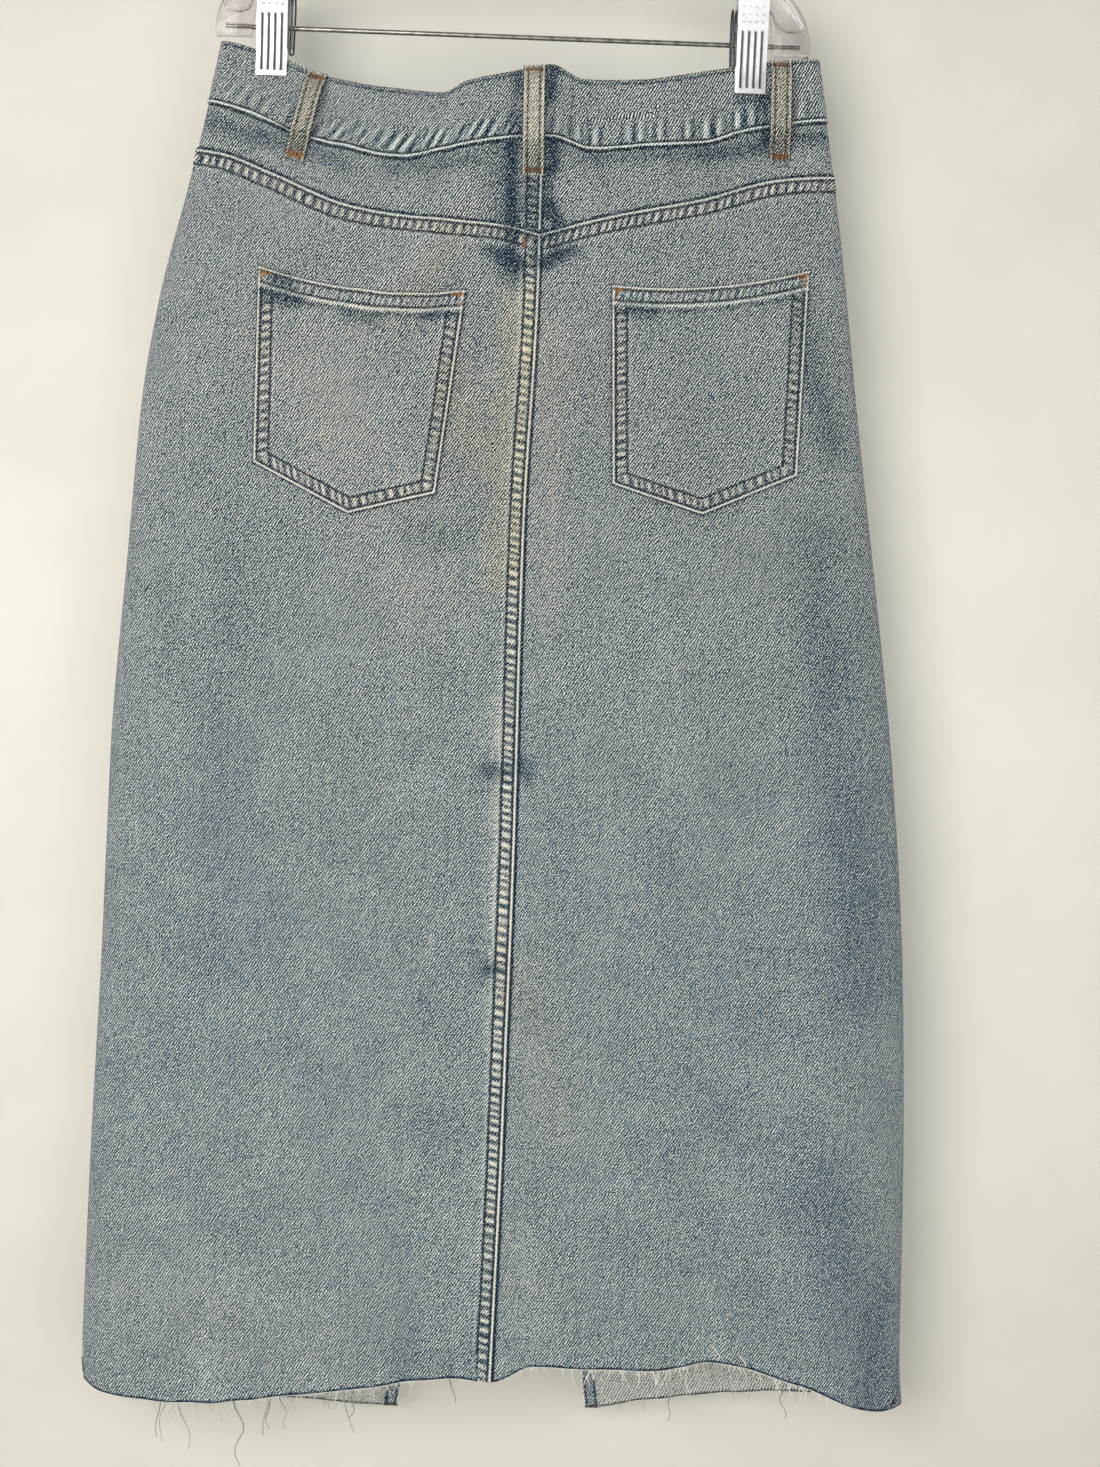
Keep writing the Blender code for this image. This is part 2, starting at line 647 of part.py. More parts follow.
def make_fringe(fringe, edge, material):
    """Loose hem threads, fused at their roots into a narrow strip just below the cut edge."""
    places = sorted(edge)
    edge_x = [x for x, _ in places]
    edge_depth = [depth for _, depth in places]

    def strip_top(x):
        return float(np.interp(x, edge_x, edge_depth)) + LAYER_GAP

    threads = thread_rows(fringe)
    half = THREAD_ROOT / 2
    columns = [fringe.x_from - 3.0]
    for x, _length in threads:
        columns += [x - half, x + half]
    columns.append(fringe.x_to + 3.0)
    middle = DENIM / 2
    points, faces = [], []

    def corner(x, depth, out):
        points.append(cloth(angle_at(x, depth), depth, fringe.side, out))
        return len(points) - 1

    def section(x, top, height, across):
        low, high = middle - across / 2, middle + across / 2
        return [corner(x, top, low), corner(x, top, high),
                corner(x, top + height, high), corner(x, top + height, low)]

    columns = sorted(columns + [x for x in edge_x if columns[0] < x < columns[-1]
                                and all(abs(x - other) > 1.0 for other in columns)])
    sections = [section(x, strip_top(x), STRIP_HEIGHT, STRIP_THICKNESS) for x in columns]
    faces.append(tuple(sections[0]))
    faces.append(tuple(reversed(sections[-1])))
    roots = {x - half: (x, length) for x, length in threads}
    for start, a, b in zip(columns, sections, sections[1:]):
        faces.append((a[0], b[0], b[1], a[1]))
        faces.append((a[1], b[1], b[2], a[2]))
        faces.append((a[3], b[3], b[0], a[0]))
        if start not in roots:
            faces.append((a[2], b[2], b[3], a[3]))
            continue
        x, length = roots[start]
        root = strip_top(x) + STRIP_HEIGHT
        ring = [a[3], b[3], b[2], a[2]]
        pieces = 1 if length < 8 else 4
        for piece in range(1, pieces + 1):
            part = piece / pieces
            depth = root + length * part
            sway = THREAD_SWAY * math.sin(x / 19.0) * part ** 1.5 * min(1.0, length / 16.0)
            size = blend(THREAD_ROOT, THREAD_TIP, part) / 2
            curl = -0.9 * part * part
            new_ring = [corner(x + sway - size, depth, middle + curl - size),
                        corner(x + sway + size, depth, middle + curl - size),
                        corner(x + sway + size, depth, middle + curl + size),
                        corner(x + sway - size, depth, middle + curl + size)]
            for i in range(4):
                faces.append((ring[i], ring[i - 1], new_ring[i - 1], new_ring[i]))
            ring = new_ring
        faces.append(tuple(ring))
    add_solid(fringe.name, points, faces, material, smooth=False)


def make_zip(tape_material, metal_material):
    """The closed zip behind the centre front, and the slider's body at its top."""
    half = ZIP_WIDTH / 2
    inner, outer = [], []
    for row in range(7):
        depth = blend(ZIP_TOP, ZIP_FOOT, row / 6)
        places = [CENTRE_FRONT_X + half * part for part in (-1.0, -0.3, 0.3, 1.0)]
        angles = [angle_at(x, depth) for x in places]
        inner.append([cloth(angle, depth, FRONT, -LAYER_GAP - ZIP_TAPE) for angle in angles])
        outer.append([cloth(angle, depth, FRONT, -LAYER_GAP) for angle in angles])
    add_wall("zip_tape", inner, outer, tape_material)

    back = -LAYER_GAP - ZIP_TAPE - SEAM_GAP
    inner, outer = [], []
    for station in SLIDER_STATIONS:
        depth = ZIP_TOP + SLIDER_DROP + station.drop
        places = [CENTRE_FRONT_X - station.half_width, CENTRE_FRONT_X + station.half_width]
        angles = [angle_at(x, depth) for x in places]
        inner.append([cloth(angle, depth, FRONT, back - SLIDER_THICKNESS) for angle in angles])
        outer.append([cloth(angle, depth, FRONT, back) for angle in angles])
    add_wall("zip_slider", inner, outer, metal_material)


def make_button(material):
    """The shank button's domed head, on the waistband's lapping end."""
    depth = (waist_line[FRONT](CENTRE_FRONT_X) + band_seam[FRONT](CENTRE_FRONT_X)) / 2
    angle = angle_at(CENTRE_FRONT_X, depth)
    top_of_lap = 2 * BAND_CLOTH + SEAM_GAP
    seat = cloth(angle, depth, FRONT, top_of_lap + LAYER_GAP)
    outward = (seat - cloth(angle, depth, FRONT, 0.0)).normalized()
    across = Vector((0, 0, 1)).cross(outward).normalized()
    up = outward.cross(across)
    sides = BUTTON_SIDES
    points = []
    for ring in BUTTON_RINGS:
        for k in range(sides):
            turn = 2 * math.pi * k / sides
            spoke = across * math.cos(turn) + up * math.sin(turn)
            points.append(seat + spoke * BUTTON_RADIUS * ring.radius_part
                          + outward * BUTTON_HEIGHT * ring.height_part)
    faces = [tuple(range(sides)), tuple(range(len(points) - sides, len(points)))]
    for first in range(0, len(points) - sides, sides):
        for k in range(sides):
            a = first + k
            b = first + (k + 1) % sides
            faces.append((a, b, b + sides, a + sides))
    add_solid("button", points, faces, material)


def add_tube(name, path, radius, sides, material):
    """A round wire along a path, closed at both ends."""
    tangents = []
    for k, point in enumerate(path):
        before, after = path[max(k - 1, 0)], path[min(k + 1, len(path) - 1)]
        tangents.append((after - before).normalized())
    normal = tangents[0].orthogonal().normalized()
    points, faces = [], []
    for point, tangent in zip(path, tangents):
        normal = (normal - tangent * normal.dot(tangent)).normalized()
        other = tangent.cross(normal)
        for k in range(sides):
            turn = 2 * math.pi * k / sides
            points.append(point + (normal * math.cos(turn) + other * math.sin(turn)) * radius)
    for ring in range(len(path) - 1):
        for k in range(sides):
            a = ring * sides + k
            b = ring * sides + (k + 1) % sides
            faces.append((a, b, b + sides, a + sides))
    faces += [tuple(range(sides)), tuple(range(len(points) - sides, len(points)))]
    return add_solid(name, points, faces, material)


def make_hook(material):
    """The steel hook: a stem out of the hanger's boss, bent round to its seat at the origin."""
    centre_radius = HOOK_RADIUS + HOOK_WIRE
    boss_z = BOSS_TOP - BAR_DROP
    centre_z = -HOOK_RADIUS
    path = [Vector((0, 0, boss_z - HOOK_SOCKET + SEAM_GAP)), Vector((0, 0, boss_z - 3.0))]
    start_angle = math.radians(HOOK_ARC_START)
    arc_start = Vector((centre_radius * math.cos(start_angle), 0,
                        centre_z + centre_radius * math.sin(start_angle)))
    for k in range(5):
        part = k / 5
        ease = part * part * (3 - 2 * part)
        path.append(Vector((arc_start.x * ease, 0, blend(boss_z + 0.5, arc_start.z, part))))
    for k in range(17):
        turn = start_angle + math.radians(HOOK_ARC_SWEEP) * k / 16
        path.append(Vector((centre_radius * math.cos(turn), 0,
                            centre_z + centre_radius * math.sin(turn))))
    add_tube("hook", path, HOOK_WIRE, 10, material)


def cut_hole(solid, name, start, end, radius):
    """Cut a round hole from start to end into a solid."""
    axis = end - start
    bpy.ops.mesh.primitive_cylinder_add(vertices=16, radius=radius * MM, depth=axis.length * MM,
                                        location=(start + end) / 2 * MM,
                                        rotation=axis.to_track_quat("Z", "Y").to_euler())
    cutter = bpy.context.object
    cutter.name = name
    cutter.hide_render = True
    cutter.display_type = "WIRE"
    cut = solid.modifiers.new(name, "BOOLEAN")
    cut.object = cutter
    cut.operation = "DIFFERENCE"


def make_hanger_body(material):
    """The clear plastic arch, with sockets for the bar's ends and the hook's stem."""
    half = HANGER_THICKNESS / 2
    outline = [(corner.x, corner.up) for corner in HANGER_OUTLINE]
    outline += [(-x, up) for x, up in reversed(outline[1:-1])]
    points = [Vector((x, y, up - BAR_DROP)) for y in (-half, half) for x, up in outline]
    count = len(outline)
    faces = [tuple(range(count)), tuple(range(count, 2 * count))]
    for k in range(count):
        following = (k + 1) % count
        faces.append((k, following, count + following, count + k))
    body = add_solid("hanger_body", points, faces, material, smooth=False)
    for hand, name in ((-1, "bar_socket_left"), (1, "bar_socket_right")):
        cut_hole(body, name, Vector((hand * 150, 0, -BAR_DROP)),
                 Vector((hand * (BAR_HALF_LENGTH + SEAM_GAP), 0, -BAR_DROP)),
                 BAR_RADIUS + LAYER_GAP)
    boss_z = BOSS_TOP - BAR_DROP
    cut_hole(body, "hook_socket", Vector((0, 0, boss_z - HOOK_SOCKET)),
             Vector((0, 0, boss_z + HOOK_SOCKET)), HOOK_WIRE + LAYER_GAP)


def make_jaw(name, clip_x, side, material):
    """One pressed-steel clip jaw: a plate with a flange down each edge."""
    half = CLIP_WIDTH / 2
    points = []
    for jaw in JAW_STATIONS:
        outer = jaw.reach + JAW_PLATE
        edge = jaw.reach - jaw.flange
        section = ((-half, outer), (half, outer), (half, edge), (half - JAW_FLANGE, edge),
                   (half - JAW_FLANGE, jaw.reach), (JAW_FLANGE - half, jaw.reach),
                   (JAW_FLANGE - half, edge), (-half, edge))
        points += [Vector((clip_x + x, side * y, -BAR_DROP - jaw.depth)) for x, y in section]
    faces = []
    count = 8
    for ring in range(len(JAW_STATIONS) - 1):
        for k in range(count):
            a = ring * count + k
            b = ring * count + (k + 1) % count
            faces.append((a, b, b + count, a + count))
    for first in (0, len(points) - count):
        faces.append(tuple(first + k for k in (0, 5, 6, 7)))
        faces.append(tuple(first + k for k in (0, 1, 4, 5)))
        faces.append(tuple(first + k for k in (1, 2, 3, 4)))
    add_solid(name, points, faces, material, smooth=False)


def make_spring(name, clip_x, hand, material):
    """The clip's wire spring, a loop over the top of the jaws on their inner side."""
    x = clip_x + hand * (CLIP_WIDTH / 2 + SPRING_WIRE + SEAM_GAP)
    half = [Vector((x, -turn.reach, -BAR_DROP - turn.depth)) for turn in SPRING_TURNS]
    path = half + [Vector((x, -point.y, point.z)) for point in reversed(half[:-1])]
    add_tube(name, path, SPRING_WIRE, 6, material)


def make_hanger(clear, steel, wire):
    """The hanger: plastic body, hook, bar and two spring clips."""
    make_hanger_body(clear)
    make_hook(steel)
    ends = [Vector((hand * BAR_HALF_LENGTH, 0, -BAR_DROP)) for hand in (-1, 1)]
    add_tube("bar", ends, BAR_RADIUS, 12, steel)
    for place, clip_x, hand in (("left", CLIP_LEFT_X, 1), ("right", CLIP_RIGHT_X, -1)):
        make_jaw(f"clip_{place}_jaw_back", clip_x, BACK, steel)
        make_jaw(f"clip_{place}_jaw_front", clip_x, FRONT, steel)
        make_spring(f"clip_{place}_spring", clip_x, hand, wire)


def main():
    """Clear the file and build the skirt and its hanger."""
    for item in list(bpy.data.objects):
        bpy.data.objects.remove(item, do_unlink=True)
    denim = plain_material("washed_denim", (0.25, 0.32, 0.34), 0.9)
    threads = plain_material("hem_threads", (0.72, 0.70, 0.62), 0.9)
    tape = plain_material("zip_tape_cloth", (0.55, 0.56, 0.52), 0.9)
    brass = plain_material("aged_brass", (0.55, 0.40, 0.22), 0.4, 1.0)
    steel = plain_material("bright_steel", (0.75, 0.77, 0.78), 0.22, 1.0)
    wire = plain_material("spring_wire", (0.25, 0.25, 0.26), 0.35, 1.0)
    clear = plain_material("clear_plastic", (0.85, 0.86, 0.88), 0.08, 0.0, 0.35)
    make_waistband(denim)
    make_yokes(denim)
    edges = make_back_panels(denim)
    edges.update(make_front_panels(denim))
    for pocket in POCKETS:
        make_pocket(pocket, denim)
    for loop in LOOPS:
        make_loop(loop, denim)
    for fringe in FRINGES:
        make_fringe(fringe, edges[fringe.name.replace("fringe_", "")], threads)
    make_zip(tape, brass)
    make_button(brass)
    make_hanger(clear, steel, wire)


main()
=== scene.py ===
# %% [markdown]
# # A worn denim skirt on a clip hanger
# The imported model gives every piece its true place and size.  This script dresses it: thin creased
# cloth goes over the cloth solids, and seams, stitches, loose yarns and metal details are added.
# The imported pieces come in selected, so everything is deselected before a modelling tool can run.

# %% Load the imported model
import math
from collections import namedtuple

import bmesh
import bpy
import numpy as np
from mathutils import Euler, Matrix, Vector


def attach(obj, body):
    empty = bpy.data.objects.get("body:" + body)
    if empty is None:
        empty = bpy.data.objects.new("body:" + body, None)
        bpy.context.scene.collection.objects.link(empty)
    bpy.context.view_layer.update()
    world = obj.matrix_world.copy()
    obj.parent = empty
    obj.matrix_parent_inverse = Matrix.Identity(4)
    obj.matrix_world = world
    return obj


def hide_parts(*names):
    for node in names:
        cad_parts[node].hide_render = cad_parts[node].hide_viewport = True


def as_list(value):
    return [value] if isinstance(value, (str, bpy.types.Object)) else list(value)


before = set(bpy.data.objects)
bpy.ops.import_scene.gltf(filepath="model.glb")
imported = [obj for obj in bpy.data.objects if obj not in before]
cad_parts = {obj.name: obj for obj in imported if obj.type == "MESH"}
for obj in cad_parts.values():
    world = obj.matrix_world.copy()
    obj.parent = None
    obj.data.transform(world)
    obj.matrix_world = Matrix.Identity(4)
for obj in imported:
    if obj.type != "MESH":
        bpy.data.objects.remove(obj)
bpy.ops.object.select_all(action="DESELECT")
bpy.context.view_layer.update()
print("packed pieces:", len(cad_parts))

# %% [markdown]
# ## The camera
# It looks straight at the back of the skirt from 1.6 m away and is rolled by about two degrees,
# because the hanger was not quite level.  A long lens keeps the sides of the skirt nearly parallel.

# %% Camera
CAMERA_PLACE = (0.0382, -1.6, -0.5217)
CAMERA_ROLL = 2.2
VIEW_HEIGHT = 0.8802
SENSOR = 36.0

camera_data = bpy.data.cameras.new("camera")
camera_data.sensor_width = SENSOR
camera_data.lens = SENSOR * -CAMERA_PLACE[1] / VIEW_HEIGHT
camera = bpy.data.objects.new("camera", camera_data)
level = Euler((math.radians(90), 0, 0)).to_matrix()
rolled = level @ Matrix.Rotation(math.radians(CAMERA_ROLL), 3, "Z")
camera.matrix_world = Matrix.Translation(CAMERA_PLACE) @ rolled.to_4x4()
bpy.context.collection.objects.link(camera)
bpy.context.scene.camera = camera
bpy.context.scene.view_settings.view_transform = "Standard"
print("lens:", round(camera_data.lens, 1))

# %% [markdown]
# ## Small helpers for materials
# A material is a graph of nodes.  Writing each node and link by hand takes many lines, so these
# helpers make a node, set its fields and join its inputs in one call.  An input may be given as a
# number, a colour or another node's output.

# %% Node helpers
def add_node(tree, kind, inputs=None, **fields):
    """Make a node; inputs maps a socket's name or number to a value or another node's socket."""
    made = tree.nodes.new(kind)
    for field, value in fields.items():
        setattr(made, field, value)
    for socket, value in (inputs or {}).items():
        if isinstance(value, bpy.types.NodeSocket):
            tree.links.new(value, made.inputs[socket])
        else:
            made.inputs[socket].default_value = value
    return made


def calculate(tree, operation, *values, clamp=False):
    """A Math node's output."""
    return add_node(tree, "ShaderNodeMath", dict(enumerate(values)), operation=operation,
                    use_clamp=clamp).outputs[0]


def times(tree, first, second):
    """The product of two values."""
    return calculate(tree, "MULTIPLY", first, second)


def plus(tree, first, second):
    """The sum of two values."""
    return calculate(tree, "ADD", first, second)


def stored(tree, name):
    """A value that the mesh stores at each point."""
    return add_node(tree, "ShaderNodeAttribute", attribute_name=name).outputs["Fac"]


def own_place(tree):
    """Places in the piece's own space."""
    return add_node(tree, "ShaderNodeTexCoord").outputs["Object"]


def mixed(tree, share, first, second, blend_type="MIX"):
    """A colour mix's output."""
    made = add_node(tree, "ShaderNodeMix", {0: share, 6: first, 7: second}, data_type="RGBA",
                    blend_type=blend_type)
    return made.outputs[2]


def noise(tree, place, scale, detail=2.0, roughness=0.5):
    """A noise texture's value, from 0 to 1."""
    return add_node(tree, "ShaderNodeTexNoise", {"Vector": place, "Scale": scale, "Detail": detail,
                    "Roughness": roughness}).outputs[0]


def ramp(tree, value, stops):
    """Colours along a value; each stop is a place and a colour in 8-bit screen values."""
    made = add_node(tree, "ShaderNodeValToRGB", {0: value})
    elements = made.color_ramp.elements
    while len(elements) < len(stops):
        elements.new(0.5)
    for element, (place, colour) in zip(elements, stops):
        element.position = place
        element.color = screen(colour)
    return made.outputs[0]


def screen(colour):
    """A linear colour from 8-bit screen values."""
    parts = [part / 255 for part in colour]
    return tuple(p / 12.92 if p <= 0.04045 else ((p + 0.055) / 1.055) ** 2.4 for p in parts) + (1.0,)


def new_material(name, inputs):
    """A Principled material with its inputs set, its node tree and its shader."""
    material = bpy.data.materials.new(name)
    material.use_nodes = True
    shader = material.node_tree.nodes["Principled BSDF"]
    for socket, value in inputs.items():
        shader.inputs[socket].default_value = value
    return material, material.node_tree, shader


def add_bump(tree, shader, height, distance, strength=1.0):
    """Fine relief from a height between 0 and 1; the distance is in metres."""
    bump = add_node(tree, "ShaderNodeBump", {"Height": height, "Distance": distance,
                    "Strength": strength})
    tree.links.new(bump.outputs[0], shader.inputs["Normal"])


# %% [markdown]
# ## Wall, floor and light
# The skirt hangs close to a pale wall, which catches a soft shadow at each side.  The wall's
# material is clear from behind, so that the front of the skirt can be looked at as well, and it
# casts no shadow of its own.  Its paint carries painted shade that darkens it away from the
# skirt.  One wide soft lamp stands at the left, a weaker one at the right, and a third behind the
# wall lights the front of the skirt.

# %% Wall and floor
WALL_DISTANCE = 0.062
FLOOR_HEIGHT = -1.32
STAGE_SIZE = 7.0
PAINTED_LIGHT_CENTRE = (-0.02, -2.66, 0.0)


def stage_material(name, colour, one_sided):
    """Pale matt paint with a faint mottle; on a one-sided sheet, painted shade darkens it away from the
    skirt.
    """
    material, tree, shader = new_material(name, {"Roughness": 0.9, "Specular IOR Level": 0.2})
    place = own_place(tree)
    dark = tuple(part * 0.975 for part in colour)
    speckle = noise(tree, place, 9.0, detail=6.0)
    paint = ramp(tree, speckle, ((0.35, dark), (0.65, colour)))
    if one_sided:
        # Painted shade: darker with distance from a point behind the middle of the skirt.
        offset = add_node(tree, "ShaderNodeVectorMath", {0: place, 1: PAINTED_LIGHT_CENTRE},
                          operation="DISTANCE").outputs["Value"]
        painted_shade = add_node(tree, "ShaderNodeMapRange", {"Value": offset, "From Min": 0.25,
                                                      "From Max": 0.75, "To Max": 0.3})
        paint = mixed(tree, painted_shade.outputs["Result"], paint, (0.0, 0.0, 0.0, 1.0))
    tree.links.new(paint, shader.inputs["Base Color"])
    if one_sided:
        facing = add_node(tree, "ShaderNodeNewGeometry").outputs["Backfacing"]
        clear = add_node(tree, "ShaderNodeBsdfTransparent").outputs[0]
        blend = add_node(tree, "ShaderNodeMixShader", {0: facing, 1: shader.outputs[0], 2: clear})
        tree.links.new(blend.outputs[0], tree.nodes["Material Output"].inputs["Surface"])
    return material


def add_stage(name, centre, tilt, material):
    """A big flat sheet for the scene to stand against."""
    bpy.ops.mesh.primitive_plane_add(size=STAGE_SIZE, location=centre, rotation=(tilt, 0, 0))
    sheet = bpy.context.object
    sheet.name = name
    sheet.data.materials.append(material)
    return sheet


wall = add_stage("stage_wall", (0, WALL_DISTANCE, FLOOR_HEIGHT + STAGE_SIZE / 2), math.pi / 2,
                 stage_material("wall_paint", (243, 240, 230), True))
wall.visible_shadow = False
wall.visible_diffuse = False
add_stage("stage_floor", (0, 0, FLOOR_HEIGHT), 0.0,
          stage_material("floor_paint", (232, 229, 220), False))
print("wall", WALL_DISTANCE, "m behind the hook")

# %% Lamps and world
Lamp = namedtuple("Lamp", "name place size power colour")
LAMPS = (
    Lamp("key", (-1.0, -2.5, -0.15), 1.5, 38.0, (1.0, 0.988, 0.965)),
    Lamp("fill", (0.8, -2.4, -0.9), 1.8, 12.0, (0.985, 0.99, 1.0)),
    Lamp("front", (0.9, 2.6, 0.4), 1.6, 42.0, (1.0, 0.99, 0.97)),
)
for lamp in LAMPS:
    light = bpy.data.lights.new(lamp.name, "AREA")
    light.energy = lamp.power
    light.size = lamp.size
    light.color = lamp.colour
    holder = bpy.data.objects.new(lamp.name, light)
    holder.location = lamp.place
    aim = Vector((0, 0, -0.5)) - Vector(lamp.place)
    holder.rotation_euler = aim.to_track_quat("-Z", "Y").to_euler()
    bpy.context.collection.objects.link(holder)
world = bpy.data.worlds.new("studio")
bpy.context.scene.world = world
world.use_nodes = True
tree = world.node_tree
direction = add_node(tree, "ShaderNodeTexCoord").outputs["Generated"]
height = add_node(tree, "ShaderNodeSeparateXYZ", {0: direction}).outputs["Z"]
height = times(tree, plus(tree, height, 1.0), 0.5)
sky = ramp(tree, height, ((0.0, (120, 118, 114)), (0.42, (206, 205, 200)), (0.55, (240, 240, 237))))
tree.links.new(sky, tree.nodes["Background"].inputs["Color"])
tree.nodes["Background"].inputs["Strength"].default_value = 0.55
print("lamps:", len(LAMPS))

# %% [markdown]
# ## The form of the cloth
# All cloth follows one form: a flattened tube whose back and front meet at the side folds.  Rows of
# sizes say how wide and how deep the tube is at each depth below the hanger's bar, and a smooth
# curve through the rows gives every place between.  Sizes here are in millimetres.

# %% Sizes of the tube
MM = 0.001
BACK = -1
FRONT = 1
BAR_DROP = 105.0
DENIM = 1.5
BAND_CLOTH = 2.2
SEAM_GAP = 0.3
HELD_HALF_GAP = 0.35
CENTRE_FRONT_X = 18.0
SLIT_TOP = 430.0
SLIT_FOOT = 828.0
SLIT_HALF_OPENING = 57.0

Section = namedtuple("Section", "depth left right back_half front_half")
SECTIONS = [Section(*row) for row in (
    (0, -172.4, 182.4, 7, 8), (46, -180.7, 190.2, 10, 11), (75, -186.4, 195, 13, 14),
    (105, -192.9, 199.8, 16, 18), (136, -200.2, 204.2, 18.5, 21), (166, -206.2, 208.2, 20, 23),
    (226, -214.1, 216, 22.5, 26), (316, -219, 229, 25, 29), (437, -224.8, 245, 27, 31),
    (557, -225.6, 255.4, 29, 33), (677, -227.6, 260.2, 30.5, 34), (797, -228.2, 262.4, 32, 35),
    (830, -227.4, 264.5, 32, 35), (880, -227.4, 264.5, 32, 35),
)]

# Rows of (x, depth), from left to right.
WAIST_BACK = (
    (-178, 8.4), (-163, 11), (-132, 20.8), (-115, 27.8), (-78, 35), (-40, 36.8), (-26, 29.5), (5, 22.4),
    (24, 18.8), (42, 25.8), (77, 24.8), (124, 15.2), (154, 9.6), (188, 6.6),
)
WAIST_FRONT = (
    (-178, 8.4), (-144, 15.5), (-80, 35), (18, 43), (90, 32), (143, 13), (188, 6.6),
)
BAND_SEAM_BACK = (
    (-184, 46), (-161, 51.6), (-136, 61.4), (-100, 72.7), (-62, 78.4), (-38, 72), (8, 64.1), (26, 63.6),
    (48, 69), (84, 65.7), (114, 61.8), (145, 51.8), (170, 47.4), (194, 44),
)
BAND_SEAM_FRONT = (
    (-184, 46), (-144, 56), (-80, 74.5), (18, 83), (90, 72.5), (143, 54), (194, 44),
)
YOKE_SEAM = (
    (-190, 73.6), (-169, 77.1), (-138, 88.8), (-92, 107), (-62, 111.6), (-3, 115.5), (21, 120.5),
    (56, 109.5), (115, 95.1), (160, 80.6), (198, 76),
)
YOKE_CORNER = 6
YOKE_CORNER_X = YOKE_SEAM[YOKE_CORNER][0]
HEM_BACK = (
    (-228, 812), (-214, 818), (-184, 820), (-153, 819.4), (-82, 809.4), (0, 797.4), (18, 799),
    (42, 788.8), (117, 788.7), (144, 783.6), (201, 796.9), (250, 813), (264, 809),
)
HEM_FRONT = (
    (-228, 812.3), (-180, 825), (-100, 828.4), (-40, 831.8), (76, 828.5), (109, 822), (157, 815.7),
    (224, 810.3), (264, 809.3),
)
# Rows of (depth, x), from the top down.
CENTRE_BACK = (
    (60, 21), (160, 21.8), (300, 18.8), (515, 20.4), (660, 20), (820, 18),
)
print("rows of the tube:", len(SECTIONS))

# %% [markdown]
# ## Folds and creases
# Each crease is a soft ridge (out above 0) or trough that runs from one place to another.  The big
# ones are the drape of the hanging cloth; the small ones come from the pull of the clips, the
# tight seams and the way the skirt was worn.  Their lengths, depths and spacing vary.

# %% Folds and creases
def both_sides(kind, back, front):
    """A table's rows for the back of the skirt, then those for its front."""
    return [kind(side, *row) for side, rows in ((BACK, back), (FRONT, front)) for row in rows]


Fold = namedtuple("Fold", "side x_top depth_top x_foot depth_foot width out")
FOLDS = both_sides(Fold, (
    (24, 4, 20, 92, 17, 3), (-44, 18, -46, 100, 17, -2.4), (56, 10, 52, 96, 17, -2),
    (-4, 112, -58, 250, 24, 1.4), (-34, 250, -120, 480, 34, 2.2), (46, 124, 96, 360, 30, -1.4),
    (-170, 250, -176, 830, 34, 2.6), (-98, 380, -118, 835, 36, -2.4), (-46, 560, -50, 835, 32, 2.4),
    (84, 330, 96, 835, 36, 2.4), (158, 300, 168, 835, 36, -2.6), (214, 420, 222, 835, 26, 2.2),
), (
    (-60, 130, -150, 420, 34, 2.4), (96, 130, 170, 400, 34, 2.4), (-120, 300, -128, 850, 38, 3),
    (-62, 430, -92, 850, 30, -2.6), (104, 420, 122, 850, 32, -2.6), (168, 280, 176, 850, 38, 3),
))
CREASES = both_sides(Fold, (
    (-170, 50, -126, 82, 5, 1.2), (-160, 44, -120, 70, 5, -1.1), (-150, 72, -112, 98, 6, 0.9),
    (-92, 66, -108, 96, 7, 1), (-76, 72, -88, 102, 6, -0.9), (-52, 68, -68, 108, 7, 1.2),
    (-34, 66, -46, 104, 5, -1), (-20, 70, -32, 106, 6, 1), (31, 68, 58, 106, 7, 1),
    (48, 68, 72, 100, 6, -0.9), (66, 68, 86, 100, 7, 0.9), (96, 62, 104, 92, 7, -0.7),
    (122, 60, 136, 86, 6, 0.9), (150, 56, 172, 78, 6, -0.8), (40, 53, 92, 45, 4, -1),
    (-110, 34, -122, 70, 5, 0.9), (110, 34, 122, 62, 7, 0.8), (126, 36, 136, 56, 5, -0.8),
    (-18, 96, -104, 190, 11, 1.1), (-8, 122, -84, 230, 9, -0.8), (8, 140, 2, 232, 7, 0.8),
    (34, 140, 44, 250, 9, 0.7), (34, 270, 40, 352, 8, 0.6), (6, 392, 8, 452, 6, 0.9),
    (7, 452, 11, 556, 6, 0.8), (-2, 470, 3, 590, 6, -0.6), (24, 580, 56, 650, 12, 0.8),
    (6, 640, 2, 780, 6, 0.8), (34, 700, 44, 790, 10, 0.9), (-206, 300, -172, 420, 9, -0.8),
    (-214, 330, -186, 470, 8, 0.7), (206, 262, 226, 470, 9, 0.8), (186, 268, 204, 420, 8, -0.7),
    (-206, 524, -120, 568, 12, 0.7), (92, 310, 132, 512, 13, 0.8), (-210, 700, -96, 772, 14, 0.8),
    (136, 650, 214, 762, 14, 0.8), (-150, 760, -146, 835, 9, 1), (-30, 730, -34, 835, 9, -1.1),
    (150, 740, 146, 835, 8, 1), (246, 700, 244, 835, 7, -1.2),
), (
    (-150, 52, -120, 84, 6, 1), (120, 52, 150, 78, 6, 1), (-62, 92, -110, 180, 10, 1),
    (-30, 100, -84, 230, 9, -0.9), (66, 92, 124, 190, 10, 1), (44, 110, 92, 250, 9, -0.8),
    (8, 250, -52, 330, 8, 0.8), (30, 250, 84, 336, 8, 0.8), (-206, 320, -170, 430, 9, -0.8),
    (200, 300, 228, 480, 9, 0.8), (-180, 560, -120, 640, 12, 0.8), (130, 520, 196, 620, 12, -0.8),
    (-70, 760, -76, 850, 9, 1), (150, 750, 146, 850, 9, 1),
))
print("folds:", len(FOLDS), "creases:", len(CREASES))


# %% Curves through the rows
def fade(value, start, end):
    """1 up to start, 0 past end, and a smooth fall between them."""
    part = np.clip((value - start) / (end - start), 0.0, 1.0)
    return 1 - part * part * (3 - 2 * part)


